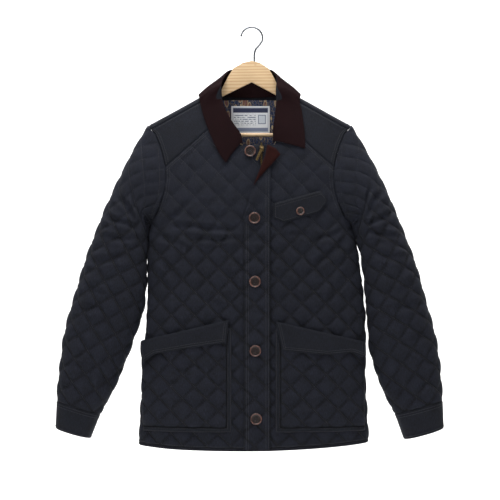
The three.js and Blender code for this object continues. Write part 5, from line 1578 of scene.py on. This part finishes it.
# %% The tree that walks a line
def line_tree(name, sides):
    tree = bpy.data.node_groups.new(name, "GeometryNodeTree")
    face = tree.interface
    face.new_socket("Geometry", in_out="INPUT", socket_type="NodeSocketGeometry")
    for label, value in (("Pitch", 0.0034), ("Long", 0.0026), ("Wide", 0.0007), ("High", 0.0005)):
        socket = face.new_socket(label, in_out="INPUT", socket_type="NodeSocketFloat")
        socket.default_value = value
    face.new_socket("Material", in_out="INPUT", socket_type="NodeSocketMaterial")
    face.new_socket("Geometry", in_out="OUTPUT", socket_type="NodeSocketGeometry")
    start = add_node(tree, "NodeGroupInput")
    line = add_node(tree, "GeometryNodeMeshToCurve", {0: start.outputs["Geometry"]})
    steps = add_node(tree, "GeometryNodeResampleCurve", {0: line.outputs[0]}, mode="LENGTH")
    tree.links.new(start.outputs["Pitch"], steps.inputs["Length"])
    sides_of = {k: start.outputs[label] for k, label in enumerate(("Long", "Wide", "High"))}
    size = add_node(tree, "ShaderNodeCombineXYZ", sides_of)
    if sides == "bead":
        bead = add_node(tree, "GeometryNodeMeshIcoSphere", {"Radius": 0.5, "Subdivisions": 1})
    else:
        bead = add_node(tree, "GeometryNodeMeshCube", {"Size": (1, 1, 1)})
    tangent = add_node(tree, "GeometryNodeInputTangent")
    out = add_node(tree, "GeometryNodeInputNamedAttribute", {"Name": "out"}, data_type="FLOAT_VECTOR")
    first = add_node(tree, "FunctionNodeAlignRotationToVector", {"Vector": tangent.outputs[0]}, axis="X")
    links = {"Rotation": first.outputs[0], "Vector": out.outputs[0]}
    second = add_node(tree, "FunctionNodeAlignRotationToVector", links, axis="Z", pivot_axis="X")
    links = {"Points": steps, "Instance": bead, "Rotation": second, "Scale": size}
    links = {name: node.outputs[0] for name, node in links.items()}
    placed = add_node(tree, "GeometryNodeInstanceOnPoints", links)
    real = add_node(tree, "GeometryNodeRealizeInstances", {0: placed.outputs[0]})
    links = {0: real.outputs[0], "Material": start.outputs["Material"]}
    finished = add_node(tree, "GeometryNodeSetMaterial", links)
    add_node(tree, "NodeGroupOutput", {0: finished.outputs[0]})
    return tree


bead_tree = line_tree("thread beads", "bead")
brick_tree = line_tree("short bricks", "brick")


def walk(name, lines, tree, pitch, size, material, nodes=()):
    """lines holds pairs: points in millimetres and the outward direction at each."""
    points, edges, outs = [], [], []
    for line, out in lines:
        start = len(points)
        points += (np.asarray(line) * MM).tolist()
        outs += np.asarray(out).tolist()
        edges += [(start + i, start + i + 1) for i in range(len(line) - 1)]
    mesh = bpy.data.meshes.new(name)
    mesh.from_pydata(points, edges, [])
    outward = mesh.attributes.new("out", "FLOAT_VECTOR", "POINT")
    outward.data.foreach_set("vector", np.array(outs, np.float32).ravel())
    piece = bpy.data.objects.new(name, mesh)
    bpy.context.scene.collection.objects.link(piece)
    modifier = piece.modifiers.new("walk", "NODES")
    modifier.node_group = tree
    long, wide, high = (c * MM for c in size)
    values = {"Pitch": pitch * MM, "Long": long, "Wide": wide, "High": high, "Material": material}
    for item in tree.interface.items_tree:
        if item.in_out == "INPUT" and item.name in values:
            modifier[item.identifier] = values[item.name]
    evaluated(piece)
    declare(piece, "root", nodes)


def on_piece(name, flat, lift=0.15):
    """A flat line laid on a cut piece's own outer skin, with the outward direction."""
    piece = cut[name]
    flat = np.asarray(flat, float)
    away, _ = distance_to(piece["loop"], flat)
    u, v = flat[:, 0], flat[:, 1]
    height = piece["outer"](u, v, away)
    low = lay(piece["place"], u, v, height, piece["small"])
    high = lay(piece["place"], u, v, height + 1, piece["small"])
    return low + (high - low) * lift, high - low


def quilt_lines(name, margin=4.0):
    piece = cut[name]
    loop, (s0, z0) = piece["loop"], piece["crossing"]
    low, high = loop.min(axis=0), loop.max(axis=0)
    reach = int((high - low).max() / 24) + 40
    lines = []
    for family in (0, 1):
        for k in range(-reach, reach + 1):
            other = np.arange(-reach, reach, 1 / 12)
            p, q = (np.full_like(other, k), other) if family == 0 else (other, np.full_like(other, k))
            flat = np.stack([s0 + DIAMOND_WIDE * (p + q) / 2, z0 + DIAMOND_TALL * (p - q) / 2], axis=1)
            near = np.all((flat > low - 5) & (flat < high + 5), axis=1)
            flat = flat[near]
            if len(flat) < 3:
                continue
            away, inside = distance_to(loop, flat)
            good = inside & (away > margin)
            for part in np.split(np.arange(len(flat)), np.flatnonzero(np.diff(good.astype(int))) + 1):
                if good[part[0]] and len(part) > 3:
                    lines.append(on_piece(name, flat[part]))
    return lines


THREAD = (3.0, 1.2, 0.55)
QUILTED_PIECES = ("front_right", "front_left", "back", "sleeve_right", "sleeve_left",
                  "pocket_right", "pocket_left", "placket")
for name in QUILTED_PIECES:
    lines = quilt_lines(name)
    walk("quilting_" + name, lines, brick_tree, 3.6, (2.7, 0.6, 0.4), thread_dark)

# %% [markdown]
# Topstitching holds the folded edges flat. Each row runs a fixed way in from an edge, and most
# come in pairs.

# %% Topstitching
def beside(line, d):
    """A flat line moved sideways, to the left of its run where d is above 0."""
    line = resample_open(line, 4)
    run = np.gradient(line, axis=0)
    run /= np.linalg.norm(run, axis=1, keepdims=True)
    return line + np.stack([-run[:, 1], run[:, 0]], axis=1) * d


def resample_open(line, step):
    line = np.asarray(line, float)
    arcs = np.concatenate([[0], np.cumsum(np.linalg.norm(np.diff(line, axis=0), axis=1))])
    at = np.linspace(0, arcs[-1], max(3, int(arcs[-1] / step) + 1))
    return np.stack([np.interp(at, arcs, line[:, k]) for k in (0, 1)], axis=1)


def inner_rows(name, start, end, offsets, trim=4.0):
    """Rows parallel to the outline between two of its corners, inside the piece."""
    piece = cut[name]
    outline = np.asarray(piece["outline"], float)
    chosen = outline[np.arange(start, end + 1) % len(outline)]
    sign = 1 if signed_area(piece["loop"]) > 0 else -1
    rows = []
    for d in offsets:
        flat = beside(chosen, sign * d)
        away, inside = distance_to(piece["loop"], flat)
        good = inside & (away > min(d, trim) * 0.8)
        if good.sum() > 3:
            rows.append(on_piece(name, flat[good]))
    return rows


def top_rows(name, flat_lines):
    rows = []
    for flat in flat_lines:
        flat = resample_open(flat, 4)
        away, inside = distance_to(cut[name]["loop"], flat)
        good = inside & (away > 1.2)
        if good.sum() > 3:
            rows.append(on_piece(name, flat[good]))
    return rows


seam_rows = []
for name, side in (("front_right", -1), ("front_left", 1)):
    for drop in (4, 9):
        line = [(MIDDLE + side * half, yoke_line(half) - drop) for half in range(56, 180, 6)]
        seam_rows += top_rows(name, [on_cloth("front", line)])
        arm = [(x - side * drop, z) for x, z in armhole_points("front", side) if z < YOKE_SEAM["z"] + 1]
        seam_rows += top_rows(name, [on_cloth("front", arm)])
    ends = (EDGE_RIGHT, -HEM_SIDE["right"]) if side < 0 else (EDGE_LEFT, HEM_SIDE["left"])
    hem = [(x, z + 3) for x, z in hem_points(*ends)]
    seam_rows += top_rows(name, [on_cloth("front", hem)])
    yoke = "yoke_right" if side < 0 else "yoke_left"
    for drop in (4, 9):
        arm = [(x - side * drop, z) for x, z in armhole_points("front", side) if z > YOKE_SEAM["z"] - 1]
        seam_rows += top_rows(yoke, [on_cloth("front", arm)])
    xs = [MIDDLE + side * half for half in range(96, 200, 8)]
    top = [(x, float(ridge_at(x)) - FORWARD_SEAM - 4) for x in xs]
    seam_rows += top_rows(yoke, [on_cloth("front", top)])
for drop in (4, 9):
    row = [(x, BACK_YOKE_Z - drop) for x in range(-185, 180, 10)]
    seam_rows += top_rows("back", [on_cloth("back", row)])
hem = [(x, z + 3) for x, z in hem_points(HEM_SIDE["left"], -HEM_SIDE["right"])]
seam_rows += top_rows("back", [on_cloth("back", hem)])
for side in (-1, 1):
    for drop in (4, 9):
        arm = [(x - side * drop, z) for x, z in armhole_points("back", side)]
        seam_rows += top_rows("back", [on_cloth("back", [p for p in arm if p[1] < BACK_YOKE_Z - 2])])
CUFF_REACH = 118
for name in ("cuff_right", "cuff_left"):
    for t in (-5, -10, -CUFF_TALL + 5):
        seam_rows += top_rows(name, [[(a, t) for a in np.linspace(-CUFF_REACH, CUFF_REACH, 60)]])
for name in ("pocket_band_right", "pocket_band_left"):
    seam_rows += inner_rows(name, 0, 1, (1.8,)) + inner_rows(name, 5, 6, (1.8,))
    seam_rows += inner_rows(name, 2, 4, (1.8,))
for name in ("flap_right", "flap_left"):
    seam_rows += inner_rows(name, 0, 5, (4, 8))
seam_rows += inner_rows("chest_flap", 0, 6, (4,)) + inner_rows("chest_flap", 6, 7, (3, 8))
foot = float(along(HEM, "x", "z", 10)) + 3
for x, top in ((-11, -410), (-7, -416), (29, -262), (34.5, -252)):
    seam_rows += top_rows("placket", [on_cloth("front", [(x, z) for z in np.linspace(foot, top, 80)])])
walk("topstitching", seam_rows, bead_tree, 3.3, THREAD, thread_dark)
arches = [(np.array([a, (a + b) / 2 + out * 0.4, b]), np.array([out, out, out])) for a, b, out in crossings]
walk("button_threads", arches, bead_tree, 1.1, (2.0, 0.9, 0.7), thread_dark)

# %% [markdown]
# The zip is two cloth tapes whose facing edges carry brass teeth. It shows only below the neck,
# where the placket is turned back, but it runs to the hem, so it is made in full.

# %% Zip
ZIP_LOW, ZIP_TOP, ZIP_FOOT = 0.7, -243, -870


def zip_line(x, height):
    z = np.linspace(ZIP_FOOT + 2, ZIP_TOP - 1, 320)
    s = np.array([arc_at("front", x, value) for value in z])
    low = lay(on_front, s, z, np.full(z.shape, height))
    return low, lay(on_front, s, z, np.full(z.shape, height + 1)) - low


ends = ZIP_X - CHAIN / 2, ZIP_X + CHAIN / 2
tape_outline = [(ends[0], ZIP_FOOT), (ends[1], ZIP_FOOT), (ends[1], ZIP_TOP), (ends[0], ZIP_TOP)]
skins = thin_skin(ZIP_LOW, 0.9, 90, 0.0), thin_skin(ZIP_LOW, 0.0, 90, 0.0)
tape = shell("zip_tape", on_cloth("front", tape_outline), on_front, *skins, plain_cloth, cell=(1.1, 6))
declare(tape, "root", [])
teeth = [zip_line(ZIP_X + side * 0.75, ZIP_LOW + 1.8) for side in (-1, 1)]
teeth[1] = (teeth[1][0] + np.array([0, 0, 0.75]), teeth[1][1])
walk("zip_teeth", teeth, brick_tree, 1.5, (0.8, 2.4, 1.5), antique_brass, nodes=["zip_chain"])

# %% [markdown]
# The stage is a pale floor that curves up into a pale wall, with large soft lamps, as in a
# product studio. The camera is level and square to the front, far away so that lines stay
# nearly parallel, as the photograph has them.

# %% Stage, lights and camera
def pale_stage():
    material, tree, shader = start_material("painted board", 0.9)
    grain = noise(tree, room_place(tree), 40.0, 2.0)[0]
    tree.links.new(ramp(tree, grain, (0.3, "FAFAFA"), (0.7, "FFFFFF")), shader.inputs["Base Color"])
    # Seen from behind the wall is clear, so that the jacket's back can be looked at too
    side = add_node(tree, "ShaderNodeNewGeometry").outputs["Backfacing"]
    clear = add_node(tree, "ShaderNodeBsdfTransparent")
    one_sided = add_node(tree, "ShaderNodeMixShader", {0: side, 1: shader.outputs[0], 2: clear.outputs[0]})
    end = next(node for node in tree.nodes if node.type == "OUTPUT_MATERIAL")
    tree.links.new(one_sided.outputs[0], end.inputs["Surface"])
    floor_z, back_y, bend, reach, wall_top = -1.3, 1.3, 0.6, 4.0, 3.0
    bend_y, bend_z = back_y - bend, floor_z + bend
    profile = [(-reach, floor_z), (bend_y, floor_z)]
    for a in np.linspace(0.1, math.pi / 2, 12):
        profile.append((bend_y + bend * math.sin(a), bend_z - bend * math.cos(a)))
    profile.append((back_y, wall_top))
    points = [(x, y, z) for x in (-reach, reach) for y, z in profile]
    n = len(profile)
    faces = [[i, i + n, i + n + 1, i + 1] for i in range(n - 1)]
    mesh = bpy.data.meshes.new("stage_floor")
    mesh.from_pydata(points, [], faces)
    mesh.shade_smooth()
    mesh.materials.append(material)
    stage = bpy.data.objects.new("stage_floor", mesh)
    bpy.context.scene.collection.objects.link(stage)


pale_stage()


def soft_lamp(name, place, target, size, power):
    data = bpy.data.lights.new(name, "AREA")
    data.shape, data.size, data.energy = "SQUARE", size, power
    lamp = bpy.data.objects.new(name, data)
    lamp.location = place
    lamp.rotation_euler = (Vector(target) - Vector(place)).to_track_quat("-Z", "Y").to_euler()
    bpy.context.scene.collection.objects.link(lamp)


soft_lamp("key_lamp", (-1.3, -2.0, 0.9), (0, 0, -0.45), 1.0, 27)
soft_lamp("fill_lamp", (1.6, -2.2, 0.2), (0, 0, -0.5), 1.6, 6)
soft_lamp("top_lamp", (0.1, -0.4, 1.6), (0, 0.1, -0.4), 1.0, 9)
soft_lamp("wall_lamp", (0, 0.1, 1.9), (0, 1.1, -0.2), 2.4, 150)
world = bpy.data.worlds.new("studio air")
world.use_nodes = True
world.node_tree.nodes["Background"].inputs[0].default_value = (1, 1, 1, 1)
world.node_tree.nodes["Background"].inputs[1].default_value = 0.2
bpy.context.scene.world = world
bpy.context.scene.view_settings.view_transform = "Standard"
camera_data = bpy.data.cameras.new("camera")
CAMERA_AWAY, FIELD = 3.6, 1.05
camera_data.sensor_width = 36
camera_data.lens = 36 * CAMERA_AWAY / FIELD
camera = bpy.data.objects.new("camera", camera_data)
camera.location = (-0.0036, -CAMERA_AWAY, -0.4658)
camera.rotation_euler = (math.pi / 2, 0, 0)
bpy.context.scene.collection.objects.link(camera)
bpy.context.scene.camera = camera
print("camera sees", FIELD, "m across at the jacket")
